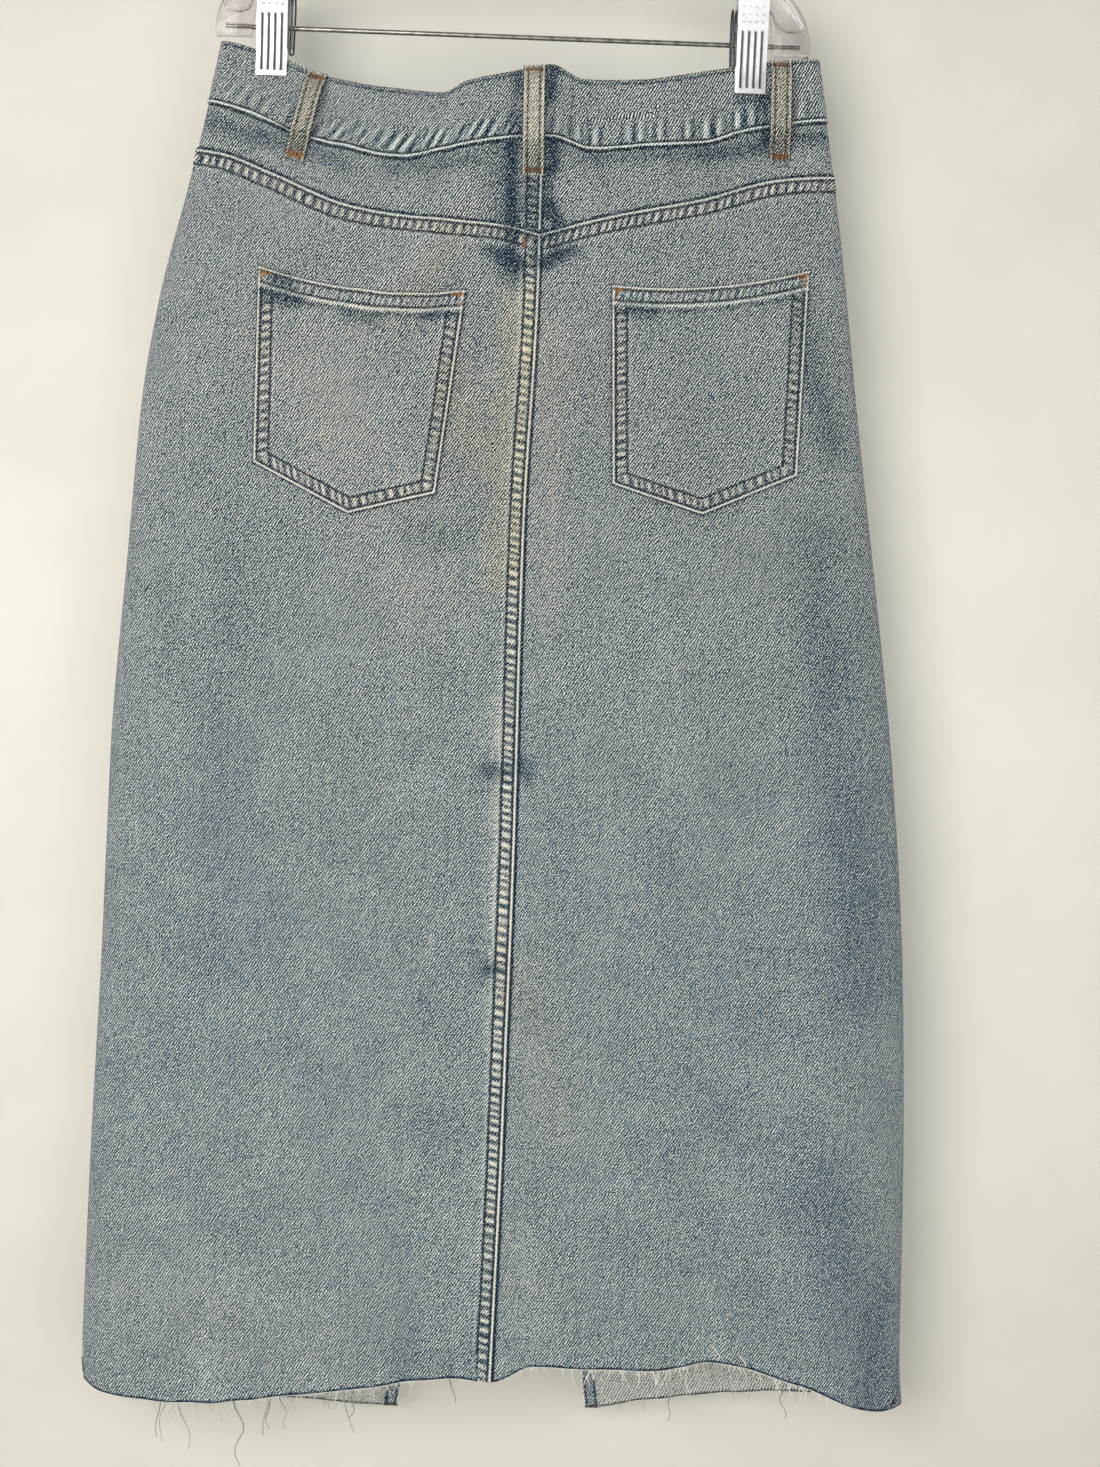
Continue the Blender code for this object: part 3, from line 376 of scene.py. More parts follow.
def blend(low, high, part):
    """The value a part of the way from low to high."""
    return low + (high - low) * part


def bump_at(value, centre, half_width):
    """A smooth hump: 1 at the centre and 0 from half a width away."""
    part = np.clip(np.abs(value - centre) / half_width, 0.0, 1.0)
    return (1 - part * part) ** 2


def curve(rows):
    """A smooth function through rows of (place, value) that doesn't swing past them."""
    places = np.array([float(row[0]) for row in rows])
    values = np.array([float(row[1]) for row in rows])
    rises = np.diff(values) / np.diff(places)
    slopes = [rises[0]]
    for before, after in zip(rises, rises[1:]):
        slopes.append(2 * before * after / (before + after) if before * after > 0 else 0.0)
    slopes = np.array(slopes + [rises[-1]])

    def at(place):
        place = np.clip(place, places[0], places[-1])
        k = np.clip(np.searchsorted(places, place, side="right") - 1, 0, len(rises) - 1)
        run = places[k + 1] - places[k]
        t = (place - places[k]) / run
        bend = t * (1 - t) * run * (slopes[k] * (1 - t) - slopes[k + 1] * t)
        return values[k] * (1 + 2 * t) * (1 - t) ** 2 + values[k + 1] * t * t * (3 - 2 * t) + bend

    return at


left_edge = curve([(row.depth, row.left + DENIM) for row in SECTIONS])
right_edge = curve([(row.depth, row.right - DENIM) for row in SECTIONS])
half_depth = {
    BACK: curve([(row.depth, row.back_half) for row in SECTIONS]),
    FRONT: curve([(row.depth, row.front_half) for row in SECTIONS]),
}
waist_line = {BACK: curve(WAIST_BACK), FRONT: curve(WAIST_FRONT)}
band_seam = {BACK: curve(BAND_SEAM_BACK), FRONT: curve(BAND_SEAM_FRONT)}
yoke_sides = (curve(YOKE_SEAM[:YOKE_CORNER + 1]), curve(YOKE_SEAM[YOKE_CORNER:]))


def yoke_seam(x):
    """The line of the yoke's lower edge, with its corner at the centre back."""
    return np.where(x < YOKE_CORNER_X, yoke_sides[0](x), yoke_sides[1](x))


hem_line = {BACK: curve(HEM_BACK), FRONT: curve(HEM_FRONT)}
centre_back = curve(CENTRE_BACK)
print("width at the hem:", round(float(right_edge(800) - left_edge(800))), "mm")

# %% [markdown]
# ## A point of the cloth
# A place on the tube has a ring angle, 0 at the left side fold and pi at the right one, and a
# depth.  The functions work on whole grids of places at once, which is what makes a mesh of tens
# of thousands of faces quick.  The clips press the layers together, so the tube closes near them.

# %% Points on the tube
CLIP_LEFT_X = -143.8
CLIP_RIGHT_X = 143.0
GRIP_HALF_WIDTH = 9.6
GRIP_REACH = 52.0
GRIP_DEPTH = 38.0
GRIP_END = 130.0


def x_at(angle, depth):
    """Where a ring angle lies across."""
    left, right = left_edge(depth), right_edge(depth)
    return (left + right) / 2 - (right - left) / 2 * np.cos(angle)


def angle_at(x, depth):
    """The ring angle of a place across."""
    left, right = left_edge(depth), right_edge(depth)
    return np.arccos(np.clip(((left + right) / 2 - x) / ((right - left) / 2), -1.0, 1.0))


def grip(x, depth):
    """1 where a clip presses the layers together, falling to 0 away from it."""
    nearest = np.minimum(abs(x - CLIP_LEFT_X), abs(x - CLIP_RIGHT_X))
    return fade(nearest, GRIP_HALF_WIDTH, GRIP_REACH) * fade(depth, GRIP_DEPTH, GRIP_END)


def fold_height(x, depth, side, folds):
    """How far soft folds push the cloth out."""
    height = np.zeros(np.broadcast(x, depth).shape)
    for fold in folds:
        if fold.side != side:
            continue
        along = (depth - fold.depth_top) / (fold.depth_foot - fold.depth_top)
        across = (x - blend(fold.x_top, fold.x_foot, along)) / fold.width
        ends = 1 - fade(along, 0.0, 0.25)
        foot = fade(along, 0.75, 1.0) if fold.depth_foot < SLIT_FOOT else 1.0
        height += fold.out * ends * foot * np.exp(-across * across)
    return height


def form(angle, depth, side):
    """Points of the cloth's inner face."""
    x = x_at(angle, depth)
    rounding = np.sin(angle)
    loose = 1 - grip(x, depth)
    hollow = half_depth[side](depth) * rounding * loose
    held = HELD_HALF_GAP * np.minimum(1.0, 4 * rounding)
    soft = fold_height(x, depth, side, FOLDS) * loose + fold_height(x, depth, side, CREASES)
    out = hollow + held + soft * np.minimum(1.0, 2 * rounding)
    return np.stack(np.broadcast_arrays(x, side * out, -BAR_DROP - depth), axis=-1)


def surface(angle, depth, side):
    """Points of the inner face and the directions that point out of the cloth."""
    turn, drop = 0.004, 0.8
    across = form(angle + turn, depth, side) - form(angle - turn, depth, side)
    down = form(angle, depth + drop, side) - form(angle, depth - drop, side)
    normal = np.cross(across, down) * side
    return form(angle, depth, side), normal / np.linalg.norm(normal, axis=-1, keepdims=True)


def settle(angle_for, line):
    """The depths at which columns whose angle depends on depth meet a line across the cloth."""
    depth = line(0.0) + 0 * angle_for(300.0)
    for _ in range(8):
        depth = line(x_at(angle_for(depth), depth))
    return depth


print("middle of the back:", form(np.array(1.57), np.array(400.0), BACK).round(1))

# %% [markdown]
# ## Where the cloth is worn, stained or darkened by painted shade
# Denim keeps its indigo where seams and loops shelter it, turns white where it rubs, and yellows a
# little where it was handled.  Each patch is a soft streak between two places with its own width
# and its own amounts of rubbed white, dark and cream.  The dark is kept indigo in some patches and
# painted shade in others: the dark lines just below the waistband seam and the pocket hems, and the
# wide streaks down the right side.  The amounts go on the mesh as a colour attribute.

# %% Patches of wear
Patch = namedtuple("Patch", "side x_top depth_top x_foot depth_foot width worn indigo cream")
# Painted shade among these rows: the dark lines just below the waistband seam, those just below the
# pocket hems, and the wide dark streaks down the right side.
PATCHES = both_sides(Patch, (
    (4, 24, 5, 38, 4, 0, 0.9, 0), (3, 50, 6, 62, 5, 0, 0.8, 0), (25, 20, 24, 38, 4, 0, 1.1, 0),
    (2, 68, 4, 118, 4.5, 0, 1.05, 0), (-8, 70, -4, 112, 7, 0, 0.3, 0), (14, 90, 15, 120, 5, 0, 0.9, 0),
    (27, 66, 27, 79, 5, 0, 1, 0), (24, 84, 25, 106, 3.5, 0, 0.65, 0), (26, 107, 33, 116, 5, 0, 1, 0),
    (3, 118, 6, 136, 4.5, 0, 0.9, 0), (-10, 132, 1, 135, 3.2, 0, 0.85, 0),
    (1, 136, 8, 141, 4.5, 0, 1.1, 0), (2, 144, 6, 149, 6, 0, 0.4, 0), (24, 138, 31, 134, 4.5, 0, 1.1, 0),
    (31, 133, 42, 130, 3.2, 0, 0.85, 0), (25, 122, 30, 124, 4, 0, 0.8, 0),
    (18, 125, 19, 140, 3.5, 0, 0.6, 0), (15, 154, 15, 190, 6, 0.62, 0, 0.6),
    (15, 190, 14, 320, 6, 0.34, 0, 0.5), (14, 330, 15, 700, 6, 0.26, 0, 0.2),
    (-140, 163, -121, 166, 5, 0, 1, 0), (-135, 153, -127, 156, 4, 0, 0.9, 0),
    (-92, 174, -75, 176, 4, 0, 0.5, 0), (-46, 174, -28, 171, 3, 0, 0.6, 0),
    (72, 163, 88, 165, 5, 0, 0.7, 0), (137, 33, 154, 32, 4, 0, 0.7, 0), (152, 32, 154, 56, 4, 0, 0.7, 0),
    (118, 68, 154, 60, 6, 0, 0.65, 0), (170, 56, 186, 54, 5, 0, 0.6, 0),
    (-178, 58, -130, 72, 6, 0, 0.5, 0), (-118, 74, -96, 84, 6, 0, 0.4, 0),
    (-70, 84, -20, 78, 6, 0, 0.4, 0), (44, 74, 110, 68, 6, 0, 0.35, 0),
    (176, 155, 199, 240, 10, 0, 0.35, 0), (2, 440, 12, 440, 5, 0, 0.6, 0),
    (20, 434, 26, 442, 5, 0, 0.5, 0), (7, 557, 12, 556, 5, 0, 0.55, 0),
    (-44, 300, -24, 306, 10, 0, 0.2, 0), (6, 398, 8, 445, 4, 0.2, 0, 0.45),
    (7, 457, 11, 551, 4, 0.18, 0, 0.3), (4, 160, 4, 330, 9, 0.12, 0, 0.5),
    (30, 180, 34, 350, 12, 0.1, 0, 0.28), (-30, 205, -14, 255, 16, 0.03, 0, 0.42),
    (27, 560, 50, 640, 18, 0.06, 0, 0.36), (20, 715, 45, 749, 16, 0.06, 0, 0.25),
    (-10, 100, -84, 180, 13, 0.08, 0, 0.1), (-30, 120, -60, 180, 12, 0.05, 0, 0.3),
    (-110, 200, -40, 330, 40, 0.12, 0, 0.25), (-150, 180, -90, 250, 30, 0.1, 0, 0.1),
    (60, 200, 120, 260, 26, 0, 0, 0.2), (112, 150, 116, 260, 26, 0.05, 0.12, 0),
    (196, 300, 232, 560, 22, 0, 0.22, 0), (-150, 190, -160, 560, 22, 0, 0.06, 0),
    (-200, 760, -90, 790, 30, 0.06, 0, 0.2), (210, 690, 250, 800, 26, 0, 0.18, 0),
), (
    (4, 82, 6, 130, 6, 0, 0.7, 0), (30, 82, 32, 132, 6, 0, 0.6, 0), (-92, 82, -84, 96, 6, 0, 0.6, 0),
    (112, 74, 124, 84, 6, 0, 0.6, 0), (-60, 130, -120, 330, 34, 0.25, 0, 0.1),
    (92, 130, 150, 330, 34, 0.25, 0, 0.1), (6, 232, 26, 240, 8, 0, 0.6, 0),
    (10, 300, 12, 420, 8, 0.3, 0, 0.3),
))


def wear_and_shade_at(x, depth, side):
    """Worn, dark and cream amounts at places of the cloth, with worn ridges and dark troughs; part of
    the dark is painted shade.
    """
    wear = np.zeros(np.broadcast(x, depth).shape + (3,))
    for patch in PATCHES:
        if patch.side != side:
            continue
        run = np.array([patch.x_foot - patch.x_top, patch.depth_foot - patch.depth_top])
        offset_x, offset_depth = x - patch.x_top, depth - patch.depth_top
        along = np.clip((offset_x * run[0] + offset_depth * run[1]) / (run @ run), 0.0, 1.0)
        gap = np.hypot(offset_x - along * run[0], offset_depth - along * run[1])
        share = np.exp(-(gap / patch.width) ** 2)
        for k, amount in enumerate((patch.worn, patch.indigo, patch.cream)):
            wear[..., k] += amount * share
    relief = fold_height(x, depth, side, CREASES)
    wear[..., 0] += 0.07 * np.maximum(relief, 0.0)
    wear[..., 1] += 0.08 * np.maximum(-relief, 0.0)
    return wear


print("patches:", len(PATCHES))

# %% [markdown]
# ## Cloth as a closed wall
# A piece of cloth is two grids of points, an inner and an outer one, joined round their rim.  Such
# a wall has a true thickness at its cut edges and never lets light through.  The builder also lays
# a measured UV map on it, in metres along the yarns, so that the twill keeps its real scale and
# follows the cloth, and it stores as attributes which face is the inside and the worn, dark and
# cream amounts, part of the dark being painted shade.

# %% Build a wall of cloth
Grid = namedtuple("Grid", "inner outer uv wear inside")


def run_along(points):
    """How far each point lies along a line of points."""
    steps = np.linalg.norm(np.diff(points, axis=0), axis=1)
    return np.concatenate([[0.0], np.cumsum(steps)])


def distance_across(points, zero_column, zero_x):
    """How far each point lies along its row, measured on the cloth from a chosen column."""
    steps = np.linalg.norm(np.diff(points, axis=1), axis=-1)
    run = np.concatenate([np.zeros((len(points), 1)), np.cumsum(steps, axis=1)], axis=1)
    hand = 1.0 if points[0, -1, 0] > points[0, 0, 0] else -1.0
    return zero_x + hand * (run - run[:, [zero_column]])


def make_grid(angle, depth, side, low, high, wear):
    """A grid of cloth between two distances out from the form."""
    angle, depth = np.broadcast_arrays(angle, depth)
    base, normal = surface(angle, depth, side)
    inner = base + normal * np.broadcast_to(low, depth.shape)[..., None]
    outer = base + normal * np.broadcast_to(high, depth.shape)[..., None]
    uv = np.stack([x_at(angle, depth), depth], axis=-1) * MM
    return Grid(inner * MM, outer * MM, uv, wear, 1.0)


def wall_faces(rows, columns, first, turned):
    """Faces of a closed wall whose inner points come before its outer ones."""
    layer = rows * columns
    corner = (np.arange(rows - 1)[:, None] * columns + np.arange(columns - 1)).ravel()
    quads = np.stack([corner, corner + 1, corner + columns + 1, corner + columns], axis=1)
    top = np.arange(columns)
    right = np.arange(1, rows) * columns + columns - 1
    foot = (rows - 1) * columns + np.arange(columns - 1)[::-1]
    left = np.arange(1, rows - 1)[::-1] * columns
    rim = np.concatenate([top, right, foot, left])
    following = np.roll(rim, -1)
    band = np.stack([layer + following, layer + rim, rim, following], axis=1)
    faces = np.concatenate([quads[:, ::-1], layer + quads, band])
    return first + (faces[:, ::-1] if turned else faces)


def is_turned(grid):
    """Whether a grid's rows and columns run so that its faces would point inwards."""
    points = grid.outer
    across = points[1:-1, 2:] - points[1:-1, :-2]
    down = points[2:, 1:-1] - points[:-2, 1:-1]
    out = grid.outer[1:-1, 1:-1] - grid.inner[1:-1, 1:-1]
    return float((np.cross(across, down) * out).sum()) < 0


def add_object(name, points, faces, material, **values):
    """A mesh object from points in metres and faces, with values stored at its points."""
    mesh = bpy.data.meshes.new(name)
    mesh.from_pydata(points.tolist(), [], faces)
    for field, numbers in values.items():
        layer = mesh.attributes.new(field, "FLOAT", "POINT")
        layer.data.foreach_set("value", numbers.astype(np.float32))
    mesh.materials.append(material)
    made = bpy.data.objects.new(name, mesh)
    bpy.context.collection.objects.link(made)
    return made


def add_cloth(name, grids, material):
    """One object from several walls of cloth."""
    points, faces, uvs, wears_and_shades, insides = [], [], [], [], []
    first = 0
    for grid in grids:
        rows, columns = grid.inner.shape[:2]
        faces.append(wall_faces(rows, columns, first, is_turned(grid)))
        for layer, inside in ((grid.inner, grid.inside), (grid.outer, 0.0)):
            points.append(layer.reshape(-1, 3))
            uvs.append(grid.uv.reshape(-1, 2))
            wears_and_shades.append(np.broadcast_to(grid.wear, layer.shape).reshape(-1, 3))
            insides.append(np.full(rows * columns, inside))
        first += 2 * rows * columns
    points, faces = np.concatenate(points), np.concatenate(faces)
    cloth = add_object(name, points, faces.tolist(), material, inside=np.concatenate(insides))
    mesh = cloth.data
    mesh.shade_smooth()
    mesh.set_sharp_from_angle(angle=math.radians(50))
    uv_layer = mesh.uv_layers.new(name="yarn")
    uv_layer.data.foreach_set("uv", np.concatenate(uvs)[faces.ravel()].astype(np.float32).ravel())
    # The colour attribute holds worn, dark and cream amounts; part of the dark is painted shade.
    colour = np.ones((len(points), 4), np.float32)
    colour[:, :3] = np.clip(np.concatenate(wears_and_shades), 0.0, 1.0)
    mesh.attributes.new("wear", "FLOAT_COLOR", "POINT").data.foreach_set("color", colour.ravel())
    print(name, "triangles:", 2 * len(faces))
    return cloth


# %% [markdown]
# ## Denim
# Denim is a twill: indigo warp yarns pass over three weft yarns and under one, a step further at
# each row, so its face shows slanting lines.  The lines here come from a sine wave across the
# slant, bent by noise and broken into short floats by a finer noise.  Streaks along the warp stand
# for uneven yarn, and blotches for the wash.  A ramp turns the sum into colours from indigo to
# white.  The lines are crispest over the waist and hips and softer towards the hem.  The waistband
# is cut across the cloth, so its lines lean the other way.

# %% Denim material
TWILL_SLANT = math.radians(56)
TWILL_PERIOD = 1.42
CRISP_TOP = 120.0
CRISP_FOOT = 480.0
OUTSIDE_STOPS = (
    (0.0, (12, 24, 36)), (0.2, (30, 50, 68)), (0.4, (69, 93, 111)), (0.6, (118, 140, 151)),
    (0.8, (182, 193, 192)), (1.0, (236, 237, 229)),
)
INDIGO_AND_SHADE_STOPS = (
    (0.0, (4, 10, 22)), (0.25, (8, 28, 56)), (0.5, (20, 58, 94)), (0.75, (68, 108, 134)),
    (1.0, (186, 200, 200)),
)
INSIDE_STOPS = (
    (0.0, (66, 72, 76)), (0.3, (140, 146, 148)), (0.65, (214, 215, 212)), (1.0, (242, 241, 235)),
)


def denim_material(name, lean):
    """Washed twill; lean is 1 where its lines rise to the right and -1 where they fall."""
    material, tree, shader = new_material(name, {"Roughness": 0.88, "Specular IOR Level": 0.25,
                                                 "Sheen Weight": 0.12})
    yarn = add_node(tree, "ShaderNodeUVMap", uv_map="yarn").outputs[0]
    across, down = add_node(tree, "ShaderNodeSeparateXYZ", {0: yarn}).outputs[:2]
    u = times(tree, across, 1000.0)
    v = times(tree, down, 1000.0)
    along_u = times(tree, u, math.sin(TWILL_SLANT) / TWILL_PERIOD)
    along_v = times(tree, v, lean * math.cos(TWILL_SLANT) / TWILL_PERIOD)
    flat = add_node(tree, "ShaderNodeCombineXYZ", {0: u, 1: v}).outputs[0]
    wobble = noise(tree, flat, 0.32, detail=3.0, roughness=0.6)
    phase = plus(tree, plus(tree, along_u, along_v), times(tree, wobble, 1.3))
    lines = calculate(tree, "SINE", times(tree, phase, 2 * math.pi))
    streaked = add_node(tree, "ShaderNodeVectorMath", {0: flat, 1: (1.0, 0.04, 1.0)},
                        operation="MULTIPLY").outputs[0]
    broken = plus(tree, times(tree, noise(tree, flat, 0.55), 1.6), -0.3)
    grain = calculate(tree, "SUBTRACT", noise(tree, flat, 1.15), 0.5)
    grain = plus(tree, times(tree, grain, 2.5), times(tree, times(tree, lines, broken), 0.85))
    crisp = add_node(tree, "ShaderNodeMapRange", {
        "Value": v, "From Min": CRISP_TOP, "From Max": CRISP_FOOT, "To Min": 1.6,
        "To Max": 0.92}).outputs["Result"]
    parts = (
        (noise(tree, streaked, 0.8), 0.22),
        (noise(tree, flat, 0.24), 0.3),
        (noise(tree, flat, 0.03, detail=3.0), 0.17),
    )
    wear = add_node(tree, "ShaderNodeAttribute", attribute_name="wear").outputs["Color"]
    worn, indigo, cream = add_node(tree, "ShaderNodeSeparateColor", {0: wear}).outputs[:3]
    total = 0.6 - sum(share for _, share in parts) / 2
    pale = plus(tree, times(tree, worn, 0.55), total)
    unworn = calculate(tree, "SUBTRACT", 1.0, times(tree, worn, 0.6))
    shown = times(tree, crisp, unworn)
    pale = plus(tree, pale, times(tree, grain, shown))
    pale = calculate(tree, "SUBTRACT", pale, times(tree, crisp, 0.11))
    for value, share in parts:
        pale = plus(tree, pale, times(tree, value, share))
    # Painted shade: this channel holds painted shade as well as kept indigo, and both darken the cloth
    # down the indigo ramp.
    pale = calculate(tree, "SUBTRACT", pale, times(tree, indigo, 0.36), clamp=True)
    colour = mixed(tree, indigo, ramp(tree, pale, OUTSIDE_STOPS), ramp(tree, pale, INDIGO_AND_SHADE_STOPS))
    warm = mixed(tree, 1.0, colour, (1.0, 0.86, 0.68, 1.0), "MULTIPLY")
    colour = mixed(tree, cream, colour, warm)
    inside = stored(tree, "inside")
    backed = calculate(tree, "SUBTRACT", pale, times(tree, indigo, 0.3), clamp=True)
    colour = mixed(tree, inside, colour, ramp(tree, backed, INSIDE_STOPS))
    tree.links.new(colour, shader.inputs["Base Color"])
    add_bump(tree, shader, pale, 0.00035, 0.7)
    return material


denim = denim_material("denim_twill", 1.0)
band_denim = denim_material("denim_band_twill", -1.0)
print("denim twill period", TWILL_PERIOD, "mm")

# %% [markdown]
# ## Columns and rows of a panel
# The columns of a panel run from a side fold to the middle seam.  Equal steps of the ring angle
# would crowd at the fold, so the steps are evened out along the real curve of the cloth.

# %% Even columns
EDGE_STEPS = np.array((0.0, 0.45, 0.95, 1.7))
MIDDLE_DEPTH = np.array(450.0)


def even_parts(side, centre_x, hand, count):
    """Parts of the way from the side fold to the centre, evenly spaced on the cloth."""
    fine = np.linspace(0.0, 1.0, 600)
    fold = 0.0 if hand < 0 else math.pi
    angles = blend(fold, angle_at(np.array(centre_x), MIDDLE_DEPTH), fine)
    points = form(angles, MIDDLE_DEPTH, side)
    run = run_along(points)
    places = run[-1] * fine_ends(float(run[-1]), count)
    return np.interp(places, run, fine)


def panel_angles(side, hand, centre, count):
    """A function that gives each column's ring angle at a depth."""
    parts = even_parts(side, centre(MIDDLE_DEPTH), hand, count)

    def angles(depth):
        inset = SEAM_GAP / 2 / half_depth[side](depth)
        fold = inset if hand < 0 else math.pi - inset
        edge = angle_at(centre(depth) + hand * SEAM_GAP / 2, depth)
        return blend(fold, edge, parts)

    return angles


def fine_ends(length, count):
    """Parts of a length, even in the middle and close together at both ends."""
    ends = EDGE_STEPS / length
    even = np.linspace(0.0, 1.0, count)
    even = even[(even > 1.5 * ends[-1]) & (even < 1 - 1.5 * ends[-1])]
    return np.concatenate([ends, even, 1 - ends[::-1]])


def panel_places(angles, top, foot, rows):
    """Angles, depths and distances to the nearer seam or hem of a panel's grid."""
    start, end = settle(angles, top), settle(angles, foot)
    depth = blend(start, end, fine_ends(float(np.mean(end - start)), rows)[:, None])
    return angles(depth), depth, np.minimum(depth - start, end - depth)


# %% [markdown]
# ## Back and front panels and the yoke
# Each panel is one wall of cloth with its raw edge at the hem.  The cloth near the hem lifts a
# little and dips again, because a cut edge curls where nothing holds it.

# %% Panels and yokes
SEAM_SHADE = 1.6
SEAM_SHADE_WIDTH = 1.5
HEM_CURL = 1.1
HEM_CURL_PERIOD = 31.0


def slit_half_opening(depth):
    """How far each edge of the front slit hangs from the centre front."""
    return SLIT_HALF_OPENING * np.maximum(0.0, (depth - SLIT_TOP) / (SLIT_FOOT - SLIT_TOP))


def hem_curl(x, depth, side):
    """How far the raw edge curls out of the cloth's plane."""
    near = 1 - fade(depth - hem_line[side](x), -26.0, 0.0)
    wave = np.sin(x / HEM_CURL_PERIOD * 2 * np.pi + 1.3 * np.sin(x / 23.0))
    return near * HEM_CURL * wave


def panel_grid(side, angles, top, foot, rows):
    """A panel's grid, one layer of denim thick."""
    angle, depth, from_edge = panel_places(angles, top, foot, rows)
    x = x_at(angle, depth)
    from_edge = np.minimum(from_edge, np.abs(x - x[:, -1:]))
    curl = hem_curl(x, depth, side)
    wear = wear_and_shade_at(x, depth, side)
    # Painted shade: a ragged dark line along the seam edges and the hem.
    ragged = 1 + 0.35 * np.sin(x / 7.1) * np.sin(x / 2.9 + 1.0)
    wear[..., 1] += SEAM_SHADE * bump_at(from_edge, 0.0, SEAM_SHADE_WIDTH * ragged)
    grid = make_grid(angle, depth, side, curl, DENIM + curl, wear)
    u = distance_across(grid.outer, -1, float(grid.outer[0, -1, 0]))
    powers = np.vander(np.linspace(-1.0, 1.0, len(u)), 4)
    smooth_u = powers @ np.polyfit(powers[:, 2], u, 3)
    return grid._replace(uv=np.stack([smooth_u, depth * MM], axis=-1))


PANEL_COLUMNS = 68
PANEL_ROWS = 204
YOKE_COLUMNS = 130
YOKE_ROWS = 34
panel_grids = {}


def add_panels(part, side, edge, columns, top, foot, rows):
    """The left and right panels of one part; edge gives the place of their inner edges."""
    for name, hand in ((part + "_left", -1), (part + "_right", 1)):
        angles = panel_angles(side, hand, lambda depth: edge(depth, hand), columns)
        panel_grids[name] = [panel_grid(side, angles, lambda x: top(x) + SEAM_GAP, foot, rows)]


def back_edge(depth, _hand):
    """Both back panels and both yokes meet at the centre-back seam."""
    return centre_back(depth)


def slit_edge(depth, hand):
    """The front panels meet at the centre front and part below it."""
    return CENTRE_FRONT_X + hand * slit_half_opening(depth)


add_panels("back", BACK, back_edge, PANEL_COLUMNS, yoke_seam, hem_line[BACK], PANEL_ROWS)
add_panels("yoke", BACK, back_edge, YOKE_COLUMNS, band_seam[BACK], yoke_seam, YOKE_ROWS)
add_panels("front", FRONT, slit_edge, PANEL_COLUMNS, band_seam[FRONT], hem_line[FRONT], PANEL_ROWS)
print("panel grids:", sorted(panel_grids))

# %% [markdown]
# ## Puckers
# Thread pulls tighter than cloth, and washing shrinks it more, so the cloth between two rows of
# stitches gathers into short bars like the rungs of a ladder.  The bars rub white; the gaps between
# them are dark, kept indigo with painted shade.  Their spacing and strength vary, which seeded
# random steps give.

# %% Pucker waves
def pucker_wave(along, period, seed):
    """A wave between about -1 and 1 along a seam, with uneven spacing and strength."""
    draw = np.random.default_rng(seed)
    low, high = float(np.min(along)), float(np.max(along))
    count = int((high - low) / period) + 8
    places = low - 2 * period + np.cumsum(period * draw.uniform(0.68, 1.34, count))
    strengths = draw.uniform(0.35, 1.0, count)
    turns = np.interp(along, places, np.arange(count))
    return np.interp(along, places, strengths) * np.cos(2 * np.pi * turns)


# %% [markdown]
# ## Sewn strips
# A lapped seam looks the same everywhere on the skirt: a turned edge that has rubbed to a white
# cord, a sunk row of stitches, a puckered strip, a second sunk row, and a soft shoulder.  One
# profile, a height and its worn, dark and cream amounts at each distance from the turned edge,
# serves the yoke seam, the centre-back seam, the pocket borders and the front seam.  Part of the
# dark is painted shade: the rim just outside the turned edge, the stitch grooves and the gaps
# between the pucker bars.

# %% Profile of a sewn strip
STITCH_NEAR = 2.8
STITCH_FAR = 9.4
STRIP_WIDTH = 13.0
PUCKER_PERIOD = 4.9
RIM_START = 0.35
RIM_END = 0.85
CORD_MIDDLE = 1.35
CORD_HALF = 0.9
StripLook = namedtuple("StripLook", "height wear")


def strip_look(distance, along, seed, raised=1.0):
    """Height above the panel and the worn, dark and cream amounts of a sewn strip, from the distance to
    its turned edge; part of the dark is painted shade.
    """
    rim = fade(distance, RIM_START, RIM_END)
    cord = bump_at(distance, CORD_MIDDLE, CORD_HALF) ** 0.7
    groove = bump_at(distance, STITCH_NEAR, 0.9) + bump_at(distance, STITCH_FAR, 0.9)
    middle = (STITCH_NEAR + STITCH_FAR) / 2
    between = bump_at(distance, middle, 3.6) ** 0.4
    shoulder = bump_at(distance, STITCH_FAR + 2.0, 2.0)
    wave = pucker_wave(along + 0.25 * distance, PUCKER_PERIOD, seed)
    twist = pucker_wave(along, 2.6, seed + 50)
    flat = fade(distance, STITCH_FAR - 0.6, STITCH_FAR + 1.6)
    height = raised * 0.75 * flat + (0.75 + 0.12 * twist) * cord - 0.4 * groove
    height = height + 0.34 * between * wave + 0.22 * shoulder
    worn = 1.2 * cord + between * (0.15 + 1.0 * np.maximum(wave, 0)) + 0.2 * shoulder
    # Painted shade in dark: the rim outside the turned edge, the stitch grooves and part of the gaps
    # between the pucker bars.
    dark = 1.4 * groove + between * 1.4 * np.maximum(-wave, 0) + 1.4 * rim
    wear = np.stack([worn, dark, 0.3 * cord + 0.4 * between], axis=-1)
    return StripLook(height, wear)


STRIP_OFFSETS = np.array((-0.5, -0.1, 0.35, 0.75, 1.1, 1.5, 1.9, 2.35, 2.8, 3.3, 4.0, 5.0, 6.1, 7.2,
                          8.1, 8.6, 9.0, 9.4, 9.9, 10.6, 11.4, 12.2, STRIP_WIDTH))
STRIP_SINK = 0.06
STRIP_STEP = 1.15


def combined_wear_and_shade(first, second):
    """Worn, dark and cream amounts, with painted shade, of the cloth and of the seam on it; the seam's
    own dark and pale parts win.
    """
    cloth_indigo_and_shade = np.clip(first[..., 1], 0, 1)
    total = first * 0.8 + second
    total[..., 0] -= 0.5 * cloth_indigo_and_shade * second[..., 0]
    total[..., 0] *= 1 - 0.6 * np.clip(second[..., 1], 0, 1)
    total[..., 1] *= 1 - 0.85 * np.clip(second[..., 0], 0, 1)
    return total


